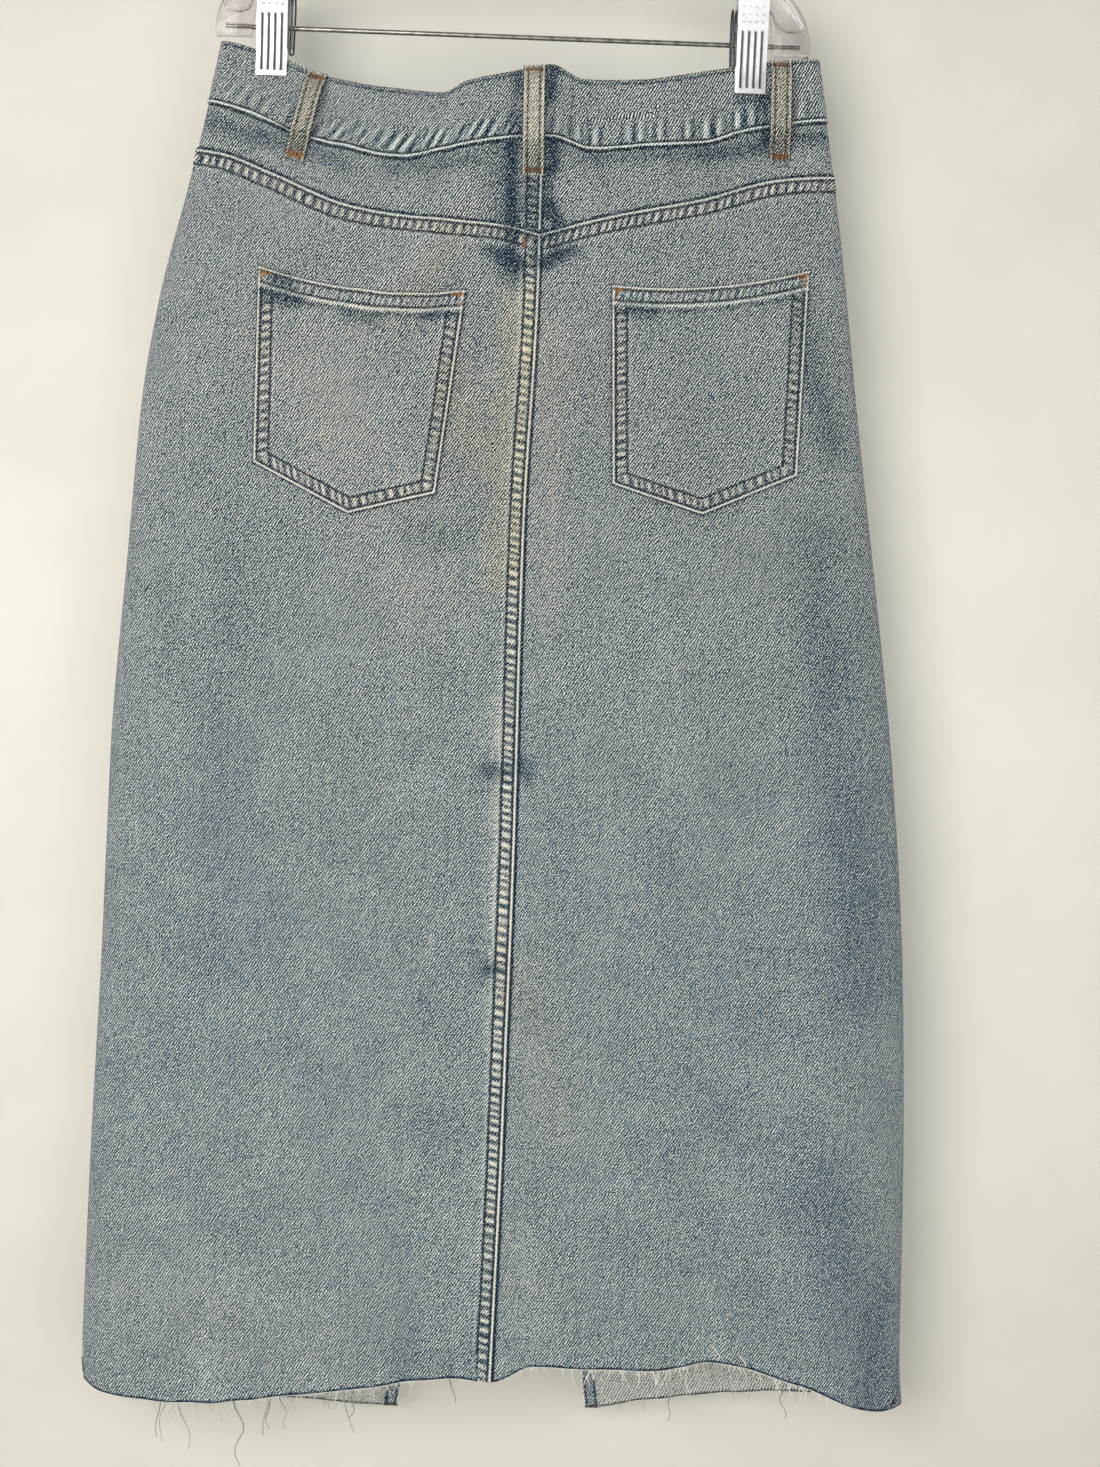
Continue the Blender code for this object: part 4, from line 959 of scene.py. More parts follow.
def strip_grid(angle, depth, side, distance, along, seed):
    """A sewn strip that lies on one layer of denim."""
    look = strip_look(distance, along, seed)
    end = 1 - fade(STRIP_WIDTH - distance, 0.0, 1.0)
    high = DENIM + np.maximum(look.height, 0.04) * end + STRIP_SINK * (2 * end - 1)
    wear = combined_wear_and_shade(wear_and_shade_at(x_at(angle, depth), depth, side), look.wear)
    return make_grid(angle, depth, side, DENIM - 2 * STRIP_SINK, high, wear)


def yoke_strip(hand):
    """The lapped top edge of a back panel."""
    angles = panel_angles(BACK, hand, centre_back, 235)
    line = settle(angles, yoke_seam)
    slope = np.gradient(line, x_at(angles(line), line))
    offsets = STRIP_OFFSETS[:, None] * np.sqrt(1 + slope * slope)
    depth = line + SEAM_GAP + offsets
    angle = angles(depth)
    distance = STRIP_OFFSETS[:, None] + 0 * depth
    return strip_grid(angle, depth, BACK, distance, x_at(angle, depth), 11 + hand)


def upright_strip(side, edge_x, hand, top, foot, seed):
    """A sewn strip down a seam whose turned edge is at edge_x(depth); hand says which way it lies."""
    depth = np.arange(top, foot, STRIP_STEP)[:, None]
    x = edge_x(depth) + hand * STRIP_OFFSETS
    angle = angle_at(x, depth)
    return strip_grid(angle, depth + 0 * x, side, STRIP_OFFSETS + 0 * x, depth + 0 * x, seed)


CENTRE_SEAM_OVERLAP = 0.3
centre_x = 20.0
yoke_foot = float(yoke_seam(centre_x))
band_foot = float(band_seam[BACK](centre_x))


def centre_edge(depth):
    """The turned edge of the centre-back seam."""
    return centre_back(depth) + CENTRE_SEAM_OVERLAP


for name, hand in (("back_left", -1), ("back_right", 1)):
    panel_grids[name].append(yoke_strip(hand))
panel_grids["back_left"].append(
    upright_strip(BACK, centre_edge, -1, yoke_foot + 3.0, float(hem_line[BACK](centre_x)) - 0.4, 21))
panel_grids["yoke_left"].append(
    upright_strip(BACK, centre_edge, -1, band_foot + 1.0, yoke_foot - 0.6, 23))


def front_edge(depth):
    """The turned edge of the centre-front seam above the slit."""
    return CENTRE_FRONT_X + CENTRE_SEAM_OVERLAP + 0 * depth


front_top = float(band_seam[FRONT](CENTRE_FRONT_X)) + 1.0
panel_grids["front_left"].append(upright_strip(FRONT, front_edge, -1, front_top, SLIT_TOP, 31))
print("strips added to", [name for name, grids in panel_grids.items() if len(grids) > 1])

# %% [markdown]
# ## The turned-in edges of the slit
# Below the centre-front seam the two edges part.  Each is folded inwards once and sewn down, so
# a strip of doubled cloth shows on the inside, with the folded cloth's face side turned to us.

# %% Slit hems
SLIT_HEM_FOLD = 1.2
SLIT_HEM_BACK = 0.05
SLIT_OFFSETS = np.array((-0.1, 0.25, 0.8, 1.6, 2.4, 3.2, 4.2, 5.2, 6.2, 6.9, 7.3, 7.8, 8.3, 8.8, 9.1))


def slit_hem(hand):
    """The doubled strip inside one edge of the slit."""
    top = SLIT_TOP + 1.0
    parts = np.linspace(0.0, 1.0, 330)[:, None]
    edge_foot = CENTRE_FRONT_X + hand * SLIT_HALF_OPENING
    depth = blend(top, float(hem_line[FRONT](edge_foot)) - 0.3, parts) + 0 * SLIT_OFFSETS
    x = CENTRE_FRONT_X + hand * (slit_half_opening(depth) + SEAM_GAP / 2 + SLIT_OFFSETS)
    wave = pucker_wave(depth, 6.0, 40 + hand)
    groove = bump_at(SLIT_OFFSETS, 7.3, 0.8) + 0 * depth
    round_edge = fade(SLIT_OFFSETS, -0.1, 1.0) + (1 - fade(SLIT_OFFSETS, 8.4, 9.2))
    low = -SLIT_HEM_FOLD + 0.3 * groove + 0.7 * round_edge - 0.18 * wave * (1 - round_edge)
    lines = groove + bump_at(SLIT_OFFSETS, 1.6, 0.9)
    worn = 0.3 * np.maximum(wave, 0) + 0.9 * round_edge + 0.1
    dark = 1.1 * lines + 0.05 * (1 - round_edge)
    wear = np.stack([worn, dark, 0.4 * round_edge + 0 * depth], axis=-1)
    grid = make_grid(angle_at(x, depth), depth, FRONT, low, SLIT_HEM_BACK, wear)
    return grid._replace(inside=0.0)


panel_grids["front_left"].append(slit_hem(-1))
panel_grids["front_right"].append(slit_hem(1))
print("slit hems from", SLIT_TOP, "mm down")

# %% [markdown]
# ## Waistband
# The band is one strip of doubled denim that runs round the waist and laps over itself at the
# centre front.  Its lower edge has rubbed to a white, twisted cord.  Above it the cloth is
# gathered into bars, strongest beside the middle loop.

# %% Waistband
BAND_LAP = 16.0
BAND_UNDERLAP = 18.0
LAP_FLAT = 40.0
LAP_EASE = 18.0
BAND_STEP = 1.5
BAND_MIDDLE = np.array(50.0)
BAND_ROWS = np.array((0.0, 0.3, 0.7, 1.1, 1.5, 1.9, 2.3, 2.8, 3.5, 4.4, 5.4, 6.5, 7.6, 8.7, 9.8, 11.0,
                      12.2, 13.4, 14.7, 16.0))
BAND_UPPER_ROWS = 20
band_pucker = curve(((-190, 0.35), (-130, 0.45), (-105, 0.8), (-54, 1.0), (-6, 1.0), (6, 0.3),
                     (30, 0.5), (44, 1.0), (120, 0.95), (150, 0.8), (190, 0.4)))


def band_segment(side, from_x, to_x):
    """Ring angles of one stretch of the band, evenly spaced on the cloth."""
    ends = [float(angle_at(x, BAND_MIDDLE)) for x in (from_x, to_x)]
    fine = np.linspace(*ends, 900)
    points = form(fine, BAND_MIDDLE, side)
    run = run_along(points)
    count = int(run[-1] / BAND_STEP) + 1
    return np.interp(np.linspace(0.0, run[-1], count), run, fine)


def band_grid(side, angles, lift):
    """One stretch of the waistband."""
    def angle_for(depth):
        return angles + 0 * depth

    top, foot = settle(angle_for, waist_line[side]), settle(angle_for, band_seam[side])
    fixed = foot - BAND_ROWS[:, None]
    rest = blend(fixed[-1], top, np.linspace(0.0, 1.0, BAND_UPPER_ROWS + 1)[1:, None])
    depth = np.concatenate([fixed, rest])[::-1]
    x = x_at(angles, depth)
    above = foot - depth
    strength = band_pucker(x) if side == BACK else 0.3 + 0 * x
    lean = fade(x, 0.0, 30.0) * 0.5 if side == BACK else 0.0
    wave = 0.65 * pucker_wave(x - lean * above, 5.6, 61)
    wave = wave + 0.55 * pucker_wave(x - 1.6 * lean * above, 8.9, 63)
    reach = (1 - fade(above, 2.4, 4.5)) * fade(above, 9.0, 20.0)
    rim = fade(above, RIM_START - 0.1, RIM_END - 0.1)
    cord = bump_at(above, CORD_MIDDLE, CORD_HALF + 0.15) ** 0.7
    groove = bump_at(above, STITCH_NEAR, 0.9)
    twist = pucker_wave(x, 3.0, 62)
    top_edge = fade(depth - top, 0.3, 1.8)
    height = (0.65 + 0.16 * twist) * cord - 0.45 * groove + 0.34 * strength * wave * reach
    height = height - 0.5 * top_edge
    worn = 1.2 * cord + strength * reach * 1.3 * np.maximum(wave, 0) + 0.35 * top_edge
    # Painted shade in dark: the rim under the lower edge, the stitch groove and part of the gaps between
    # the bars.
    dark = 1.4 * groove + strength * reach * 1.5 * np.maximum(-wave, 0) + 1.4 * rim
    dark = dark + 0.9 * bump_at(depth - top, 2.4, 0.9)
    wear = combined_wear_and_shade(wear_and_shade_at(x, depth, side), np.stack([worn, dark, 0.3 * top_edge], axis=-1))
    high = lift + BAND_CLOTH + height
    return make_grid(angles, depth, side, lift, high, wear)


def join_grids(grids):
    """Grids side by side as one, without the doubled columns where they meet."""
    parts = [grids[0]] + [Grid(*(field[:, 1:] for field in grid[:4]), grid.inside)
                          for grid in grids[1:]]
    return Grid(*(np.concatenate([part[k] for part in parts], axis=1) for k in range(4)), 1.0)


lap_angles = band_segment(FRONT, CENTRE_FRONT_X + BAND_LAP, -400.0)
from_lap_end = CENTRE_FRONT_X + BAND_LAP - x_at(lap_angles, 60.0)
lap_lift = (BAND_CLOTH + SEAM_GAP) * fade(from_lap_end, LAP_FLAT, LAP_FLAT + LAP_EASE)
band = join_grids([
    band_grid(FRONT, lap_angles, lap_lift),
    band_grid(BACK, band_segment(BACK, -400.0, 400.0), 0.0),
    band_grid(FRONT, band_segment(FRONT, 400.0, CENTRE_FRONT_X - BAND_UNDERLAP), 0.0),
])
smooth_row = distance_across(band.outer[6:7], 0, 0.0)
band = band._replace(uv=np.stack(np.broadcast_arrays(smooth_row, band.uv[..., 1]), axis=-1))
panel_grids["waistband"] = [band]
print("waistband grid:", band.outer.shape[:2])

# %% [markdown]
# ## Patch pockets
# A pocket is sewn down along its sides and its pointed foot, with two rows of stitches, and its
# open top has a wide turned hem.  The whole pocket is one grid, fine at its borders, and the
# profile of a sewn strip is applied by the distance to the nearest border.

# %% Pockets
LAYER_GAP = 0.4
POCKET_HEM = 13.0
Place = namedtuple("Place", "x depth")
Pocket = namedtuple("Pocket", "name top_left top_right foot_left tip foot_right sag")
POCKETS = (
    Pocket("pocket_left", Place(-145.8, 145.2), Place(-21.0, 156.4), Place(-143.9, 263.3),
           Place(-86.0, 292.3), Place(-34.4, 278.7), 7.0),
    Pocket("pocket_right", Place(64.1, 149.3), Place(181.9, 134.7), Place(68.6, 268.7),
           Place(123.2, 284.7), Place(179.0, 258.8), 6.0),
)
BORDER_STEPS = np.array((0.0, 0.35, 0.75, 1.1, 1.5, 1.9, 2.35, 2.8, 3.3, 4.1, 5.2, 6.3, 7.4, 8.4,
                         8.9, 9.4, 9.9, 10.6, 11.3, 12.1, 13.0))
HEM_CORD = 11.3
HEM_STITCH_TOP = 2.9
HEM_STITCH_FOOT = 9.4


def spaced(length, middle_step):
    """Places from 0 to a length, fine at both ends."""
    middle = np.linspace(BORDER_STEPS[-1], length - BORDER_STEPS[-1],
                         int((length - 2 * BORDER_STEPS[-1]) / middle_step) + 2)[1:-1]
    return np.concatenate([BORDER_STEPS, middle, length - BORDER_STEPS[::-1]])


def line_distance(x, depth, start, end):
    """Distance of places from the straight line through two places."""
    run = np.array([end.x - start.x, end.depth - start.depth])
    return np.abs((x - start.x) * run[1] - (depth - start.depth) * run[0]) / np.hypot(*run)


def pocket_lines(pocket):
    """Functions for the sagging top and the pointed foot of a pocket, by part of its width."""
    width = pocket.foot_right.x - pocket.foot_left.x
    tip_part = (pocket.tip.x - pocket.foot_left.x) / width

    def top_at(part):
        sag = pocket.sag * 4 * part * (1 - part)
        return blend(pocket.top_left.depth, pocket.top_right.depth, part) + sag

    def foot_at(part):
        left = blend(pocket.foot_left.depth, pocket.tip.depth, part / tip_part)
        right = blend(pocket.tip.depth, pocket.foot_right.depth,
                      (part - tip_part) / (1 - tip_part))
        return np.where(part <= tip_part, left, right)

    return top_at, foot_at


def top_depth(pocket, x):
    """The depth of a pocket's open top at places across."""
    width = pocket.top_right.x - pocket.top_left.x
    return pocket_lines(pocket)[0](np.clip((x - pocket.top_left.x) / width, 0, 1))


def pocket_grid(pocket, seed):
    """A patch pocket with its borders, hem and puckers."""
    top_at, foot_at = pocket_lines(pocket)
    width = pocket.top_right.x - pocket.top_left.x
    part = (spaced(width, 1.2) / width)[None, :]
    top, foot = top_at(part), foot_at(part)
    drops = spaced(float(np.mean(foot - top)), 1.6)[:, None]
    down = drops / drops[-1]
    depth = blend(top, foot, down)
    x = blend(blend(pocket.top_left.x, pocket.foot_left.x, down),
              blend(pocket.top_right.x, pocket.foot_right.x, down), part)
    sides = (
        (line_distance(x, depth, pocket.top_left, pocket.foot_left), depth),
        (line_distance(x, depth, pocket.top_right, pocket.foot_right), depth + 300),
        (line_distance(x, depth, pocket.foot_left, pocket.tip), x + 600),
        (line_distance(x, depth, pocket.tip, pocket.foot_right), x + 900),
    )
    height, wear = np.zeros(x.shape), np.zeros(x.shape + (3,))
    nearest = np.minimum.reduce([distance for distance, _ in sides])
    below_hem = 1 - fade(depth - top, POCKET_HEM - 1.5, POCKET_HEM + 1.0)
    for k, (distance, along) in enumerate(sides):
        look = strip_look(distance, along, seed + 3 * k, raised=0.25)
        mine = (distance <= nearest + 0.01) * below_hem
        height += mine * look.height
        wear += mine[..., None] * look.wear
    drop = depth - top
    wave = pucker_wave(x + 0.3 * drop, 3.8, seed + 31)
    between = bump_at(drop, (HEM_STITCH_TOP + HEM_STITCH_FOOT) / 2, 3.9) ** 0.4
    cords = bump_at(drop, CORD_MIDDLE, CORD_HALF) ** 0.7 + 0.9 * bump_at(drop, HEM_CORD, 1.5)
    groove = bump_at(drop, HEM_STITCH_TOP, 0.9) + bump_at(drop, HEM_STITCH_FOOT, 0.9)
    groove = groove + fade(drop, RIM_START, RIM_END)
    end_cord = bump_at(nearest, CORD_MIDDLE, CORD_HALF) ** 0.7 * (nearest < drop)
    end_rim_shade = fade(nearest, RIM_START, RIM_END)
    hem = fade(drop, POCKET_HEM - 1.0, POCKET_HEM + 1.0)
    shade = bump_at(drop, POCKET_HEM + 1.2, 1.8)
    height += hem * (0.75 + 0.3 * between * wave - 0.4 * groove) + 0.4 * cords + 0.3 * end_cord * hem
    worn = cords + end_cord * hem + 0.8 * between * np.maximum(wave, 0) + 0.1 * between
    # Painted shade in dark: the rims and stitch grooves, part of the gaps between the hem's bars, and
    # the band just below the hem.
    dark = 1.1 * groove + 0.9 * between * np.maximum(-wave, 0) + 0.5 * shade + 1.2 * end_rim_shade * hem
    wear += np.stack([worn, dark, 0.4 * cords], axis=-1)
    wear = combined_wear_and_shade(wear_and_shade_at(x, depth, BACK), wear)
    rim = fade(np.minimum(nearest, drop), 0.0, 0.7)
    low = DENIM + LAYER_GAP
    high = low + DENIM - 0.35 * rim + height * (1 - rim)
    return make_grid(angle_at(x, depth), depth, BACK, low, high, wear)


for number, pocket in enumerate(POCKETS):
    panel_grids[pocket.name] = [pocket_grid(pocket, 100 + 40 * number)]
    print(pocket.name, panel_grids[pocket.name][0].outer.shape[:2])

# %% [markdown]
# ## Belt loops
# A loop is a narrow folded strap, tacked down at both ends and arched over the waistband between.
# Its edges have rubbed white, and a row of stitches sinks into it on each side of the middle.

# %% Belt loops
LOOP_WIDTH = 13.2
LOOP_BOW = 5.6
STRAP_CLOTH = 1.6
LOOP_STITCH = 3.5
Loop = namedtuple("Loop", "name side top foot")
LOOPS = (
    Loop("belt_loop_back_left", BACK, Place(-115.3, 27.2), Place(-127.9, 80.6)),
    Loop("belt_loop_back_centre", BACK, Place(14.1, 20.0), Place(15.4, 86.0)),
    Loop("belt_loop_back_right", BACK, Place(161.2, 8.9), Place(162.4, 70.0)),
    Loop("belt_loop_front_left", FRONT, Place(-84.0, 34.6), Place(-88.0, 86.0)),
    Loop("belt_loop_front_right", FRONT, Place(113.0, 24.6), Place(116.0, 76.0)),
)


def loop_length(loop):
    """A loop's length on the cloth."""
    return float(np.hypot(loop.foot.x - loop.top.x, loop.foot.depth - loop.top.depth))


def loop_rise(length):
    """How far a loop's inner face stands off the cloth's outer one along its length."""
    on_band = BAND_CLOTH + LAYER_GAP
    on_cloth = DENIM + LAYER_GAP
    return curve(((0, on_band), (3, on_band), (10, on_band + LOOP_BOW), (22, on_band + LOOP_BOW + 0.2),
                  (length - 20, on_band + LOOP_BOW), (length - 9, on_cloth + 0.6),
                  (length - 5, on_cloth), (length, on_cloth)))


def loop_points(loop, distance, across, lift):
    """Points on a loop, by the distance from its top and across from its middle line."""
    top, foot = np.array(loop.top), np.array(loop.foot)
    length = loop_length(loop)
    run = (foot - top) / length
    distance, across = np.broadcast_arrays(distance, across)
    x = loop.top.x + run[0] * distance + run[1] * across
    depth = loop.top.depth + run[1] * distance - run[0] * across
    base, normal = surface(angle_at(x, depth), depth, loop.side)
    on_cloth = DENIM + LAYER_GAP
    points = base + normal * on_cloth
    points[..., 1] += loop.side * (loop_rise(length)(distance) - on_cloth + lift)
    return points


def loop_grid(loop, seed):
    """A belt loop with its sunk stitch rows, worn edges and crumpled ends."""
    length = loop_length(loop)
    distance = np.linspace(0.0, length, int(length / 0.9))[:, None]
    half = LOOP_WIDTH / 2
    across = half * np.array((-1.0, -0.95, -0.87, -0.78, -0.66, -0.56, -0.5, -0.4, -0.2, 0.0,
                              0.2, 0.4, 0.5, 0.56, 0.66, 0.78, 0.87, 0.95, 1.0))
    edge = half - np.abs(across) + 0 * distance
    groove = bump_at(np.abs(across), LOOP_STITCH, 0.9) + 0 * distance
    wave = pucker_wave(distance + 0.3 * across, 4.2, seed)
    ends = fade(np.minimum(distance, length - distance), 0.5, 1.6) + 0 * across
    cord = bump_at(edge, 1.0, 0.65) ** 0.7
    rim = fade(edge, 0.3, 0.7)
    high = STRAP_CLOTH + 0.35 * cord - 0.35 * groove - 0.6 * fade(edge, 0.0, 0.6) + 0.14 * wave
    high = high + 0.25 * bump_at(across, 0.0, 2.6) - 0.4 * ends
    foot_shade = 1 - fade(distance, length * 0.62, length * 0.8)
    rubbed = 0.57 if loop.name.endswith("back_centre") else 0.26
    worn = 0.6 * cord + rubbed + 0.14 * wave + 0.3 * ends - 0.2 * foot_shade
    # Painted shade in dark: the rim outlining both edges, the stitch grooves and the lower end.
    dark = 0.5 * groove + 0.3 * foot_shade * (1 - cord) + 1.2 * rim
    cream = 0.8 + 0.5 * groove + 0 * wave
    wear = np.stack(np.broadcast_arrays(worn, dark, cream), axis=-1)
    inner = loop_points(loop, distance, across, 0.0)
    outer = loop_points(loop, distance, across, high)
    uv = np.stack(np.broadcast_arrays(loop.top.x + across, distance), axis=-1)
    return Grid(inner * MM, outer * MM, uv * MM, wear, 0.0)


for number, loop in enumerate(LOOPS):
    panel_grids[loop.name] = [loop_grid(loop, 200 + 5 * number)]
print("loops:", len(LOOPS))

# %% [markdown]
# ## Stitches
# Each stitch is a short length of thick thread that dives into the cloth at both ends.  It is
# modelled once, as a stretched sphere of a few faces, and copied along every seam: thousands of
# copies joined in one mesh per seam group.  A tone on each stitch, from near black to rust, gives
# the thread its uneven colour.

# %% One stitch and the lines it is copied along
def as_model(piece):
    """Points and faces of a piece that was made only to be copied; the piece itself goes."""
    points = np.array([vertex.co[:] for vertex in piece.data.vertices])
    faces = [list(face.vertices) for face in piece.data.polygons]
    bpy.data.objects.remove(piece)
    return points, faces


STITCH_LENGTH = 3.1
STITCH_GAP = 0.45
THREAD_RADIUS = 0.34

bpy.ops.mesh.primitive_uv_sphere_add(segments=6, ring_count=5, radius=0.5)
bpy.ops.object.mode_set(mode="EDIT")
bpy.ops.transform.rotate(value=math.pi / 2, orient_axis="Y", center_override=(0, 0, 0))
bpy.ops.object.mode_set(mode="OBJECT")
STITCH_POINTS, STITCH_FACES = as_model(bpy.context.object)
Thread = namedtuple("Thread", "middle along out length tone radius")


def thread_line(points, out, tone, seed, length=STITCH_LENGTH, gap=STITCH_GAP, radius=THREAD_RADIUS):
    """Stitches along a line of points; out is the direction away from the cloth at each point."""
    draw = np.random.default_rng(seed)
    run = run_along(points)
    starts = np.arange(0.3, run[-1] - length, length + gap)
    starts = starts + draw.uniform(-0.12, 0.12, len(starts))

    def at(place, values):
        return np.stack([np.interp(place, run, values[:, k]) for k in range(3)], axis=1)

    first, last = at(starts, points), at(starts + length, points)
    middle = at(starts + length / 2, points)
    outward = at(starts + length / 2, out)
    tones = np.clip(tone + draw.normal(0.0, 0.12, len(starts)), 0.0, 1.0)
    return Thread(middle, last - first, outward, np.full(len(starts), length), tones,
                  np.full(len(starts), radius))


def add_threads(name, lines, material):
    """One mesh that holds a copy of the stitch for each place of the lines."""
    middle, along, out, length, tone, radius = (
        np.concatenate([getattr(line, field) for line in lines]) for field in Thread._fields)
    along = along / np.linalg.norm(along, axis=1, keepdims=True)
    side = np.cross(along, out)
    side /= np.linalg.norm(side, axis=1, keepdims=True)
    out = np.cross(side, along)
    local = STITCH_POINTS[None]
    points = (middle[:, None] + along[:, None] * local[..., 0:1] * length[:, None, None]
              + side[:, None] * local[..., 1:2] * 2 * radius[:, None, None]
              + out[:, None] * local[..., 2:3] * 2 * radius[:, None, None])
    size = len(STITCH_POINTS)
    faces = [[vertex + k * size for vertex in face] for k in range(len(middle))
             for face in STITCH_FACES]
    threads = add_object(name, points.reshape(-1, 3) * MM, faces, material,
                         tone=np.repeat(tone, size))
    threads.data.shade_smooth()
    print(name, "stitches:", len(middle), "triangles:", sum(len(f) - 2 for f in faces))
    return threads


def thread_material():
    """Topstitch thread, from near black through brown to rust."""
    material, tree, shader = new_material("topstitch_thread", {"Roughness": 0.75,
                                                               "Sheen Weight": 0.2})
    place = own_place(tree)
    tone = stored(tree, "tone")
    grain = noise(tree, place, 2600.0)
    value = plus(tree, tone, times(tree, grain, 0.24))
    value = calculate(tree, "SUBTRACT", value, 0.12)
    stops = ((0.0, (24, 24, 26)), (0.3, (44, 38, 34)), (0.55, (92, 66, 40)), (0.75, (148, 88, 32)),
             (1.0, (192, 130, 50)))
    tree.links.new(ramp(tree, value, stops), shader.inputs["Base Color"])
    add_bump(tree, shader, grain, 0.0002, 0.6)
    return material


topstitch = thread_material()


def seam_line(side, x, depth, out, tone, seed, **size):
    """A row of stitches through places of the cloth, with its middle out millimetres out."""
    x, depth = np.broadcast_arrays(np.asarray(x, float), np.asarray(depth, float))
    base, normal = surface(angle_at(x, depth), depth, side)
    lift = np.broadcast_to(out, x.shape)[:, None]
    return thread_line(base + normal * lift, normal, tone, seed, **size)


# %% [markdown]
# ## Rows of stitches on the seams
# Two rows hold each lapped seam, one close to the turned edge and one further in.  They sit in the
# sunk grooves of the strips, a little below the cloth at their sides.

# %% Seam stitches
GROOVE_OUT = DENIM + 0.55
POCKET_OUT = DENIM + LAYER_GAP + DENIM - 0.02
HEM_OUT = DENIM + LAYER_GAP + DENIM + 0.55

seam_threads = []
for hand in (-1, 1):
    fine_angles = panel_angles(BACK, hand, centre_back, 400)
    line = settle(fine_angles, yoke_seam)
    slope = np.gradient(line, x_at(fine_angles(line), line))
    for number, offset in enumerate((STITCH_NEAR, STITCH_FAR)):
        depth = (line + SEAM_GAP + offset * np.sqrt(1 + slope * slope))[4:-3]
        seam_threads.append(seam_line(BACK, x_at(fine_angles(line)[4:-3], depth), depth, GROOVE_OUT,
                                      0.28, 300 + number + 5 * hand))
upright_seams = (
    (BACK, centre_edge, yoke_foot + 12.0, 797.0, 0.2, 320),
    (BACK, centre_edge, 86.0, yoke_foot - 1.0, 0.12, 325),
    (FRONT, front_edge, front_top + 2.0, SLIT_TOP - 1.0, 0.25, 330),
)
for number, offset in enumerate((STITCH_NEAR, STITCH_FAR)):
    for side, edge, top, foot, tone, seed in upright_seams:
        depth = np.arange(top, foot, 1.0)
        seam_threads.append(seam_line(side, edge(depth) - offset, depth, GROOVE_OUT, tone,
                                      seed + number))
print("seam rows:", len(seam_threads))


# %% Pocket stitches
def inset_path(corners, inset):
    """A path through corner places, moved in by an inset; it runs down, round the tip and up."""
    places = np.array([(corner.x, corner.depth) for corner in corners])
    runs = np.diff(places, axis=0)
    runs /= np.linalg.norm(runs, axis=1, keepdims=True)
    inward = np.stack([runs[:, 1], -runs[:, 0]], axis=1)
    moved = []
    for k, place in enumerate(places):
        before, after = inward[max(k - 1, 0)], inward[min(k, len(inward) - 1)]
        middle = (before + after) / np.linalg.norm(before + after)
        moved.append(place + middle * inset / (middle @ before))
    fine = []
    for start, end in zip(moved, moved[1:]):
        steps = np.linspace(0.0, 1.0, max(2, int(np.linalg.norm(end - start))))[:, None]
        fine.append(start + (end - start) * steps[:-1])
    return np.concatenate(fine + [moved[-1][None]])


pocket_threads = []
for number, pocket in enumerate(POCKETS):
    outline = (pocket.top_left, pocket.foot_left, pocket.tip, pocket.foot_right, pocket.top_right)
    for row, inset in enumerate((STITCH_NEAR, STITCH_FAR)):
        path = inset_path(outline, inset)
        in_hem = path[:, 1] < top_depth(pocket, path[:, 0]) + (POCKET_HEM if row else 1.5)
        path = path[~in_hem]
        pocket_threads.append(seam_line(BACK, path[:, 0], path[:, 1], POCKET_OUT, 0.24,
                                        340 + 4 * number + row))
    for row, drop in enumerate((HEM_STITCH_TOP, HEM_STITCH_FOOT)):
        x = blend(pocket.top_left.x, pocket.top_right.x, np.linspace(0.015, 0.985, 140))
        depth = top_depth(pocket, x) + drop
        pocket_threads.append(seam_line(BACK, x, depth, HEM_OUT, 0.42 - 0.1 * row,
                                        360 + 4 * number + row))
print("pocket rows:", len(pocket_threads))

# %% [markdown]
# ## Stitches on the waistband and loops
# The band has one row just above its lower edge and a row of short slanted stitches that bind its
# top edge.  Each belt loop has two rows of its own.

# %% Waistband and loop stitches
def band_row(side, from_x, to_x, drop_from_foot, drop_from_top, lift, **size):
    """A row along the band, measured up from its foot or down from its top."""
    x = np.linspace(from_x, to_x, 420)
    if drop_from_foot is not None:
        depth = band_seam[side](x) - drop_from_foot
    else:
        depth = waist_line[side](x) + drop_from_top
    return seam_line(side, x, depth, lift, **size)


BAND_EDGE_LEFT, BAND_EDGE_RIGHT = -176.5, 186.5
FACE_OUT = BAND_CLOTH - 0.15
BINDING_DROP = 0.75
BINDING = {"length": 1.15, "gap": 0.75, "radius": 0.36}
edge_rows = (
    (BACK, BAND_EDGE_LEFT - 3, BAND_EDGE_RIGHT + 3, FACE_OUT, 0.2),
    (FRONT, BAND_EDGE_LEFT - 3, -24.0, FACE_OUT, 0.25),
    (FRONT, -20.0, 33.0, FACE_OUT + BAND_CLOTH + SEAM_GAP, 0.3),
    (FRONT, 36.0, BAND_EDGE_RIGHT + 3, FACE_OUT, 0.25),
)
binding_rows = (
    (BACK, BAND_EDGE_LEFT, BAND_EDGE_RIGHT), (FRONT, BAND_EDGE_LEFT, -24.0),
    (FRONT, 36.0, BAND_EDGE_RIGHT),
)
band_threads = [band_row(side, start, end, STITCH_NEAR, None, out, tone=tone, seed=380 + k)
                for k, (side, start, end, out, tone) in enumerate(edge_rows)]
band_threads += [band_row(*row, None, BINDING_DROP, BAND_CLOTH - 0.3, tone=0.35, seed=384 + k,
                          **BINDING) for k, row in enumerate(binding_rows)]
loop_threads = []
for number, loop in enumerate(LOOPS):
    length = loop_length(loop)
    distance = np.linspace(2.0, length - 2.0, 120)
    for row, across in enumerate((-LOOP_STITCH, LOOP_STITCH)):
        points = loop_points(loop, distance, across + 0 * distance, STRAP_CLOTH - 0.12)
        below = loop_points(loop, distance, across + 0 * distance, 0.0)
        loop_threads.append(thread_line(points, points - below, 0.38, 400 + 4 * number + row))
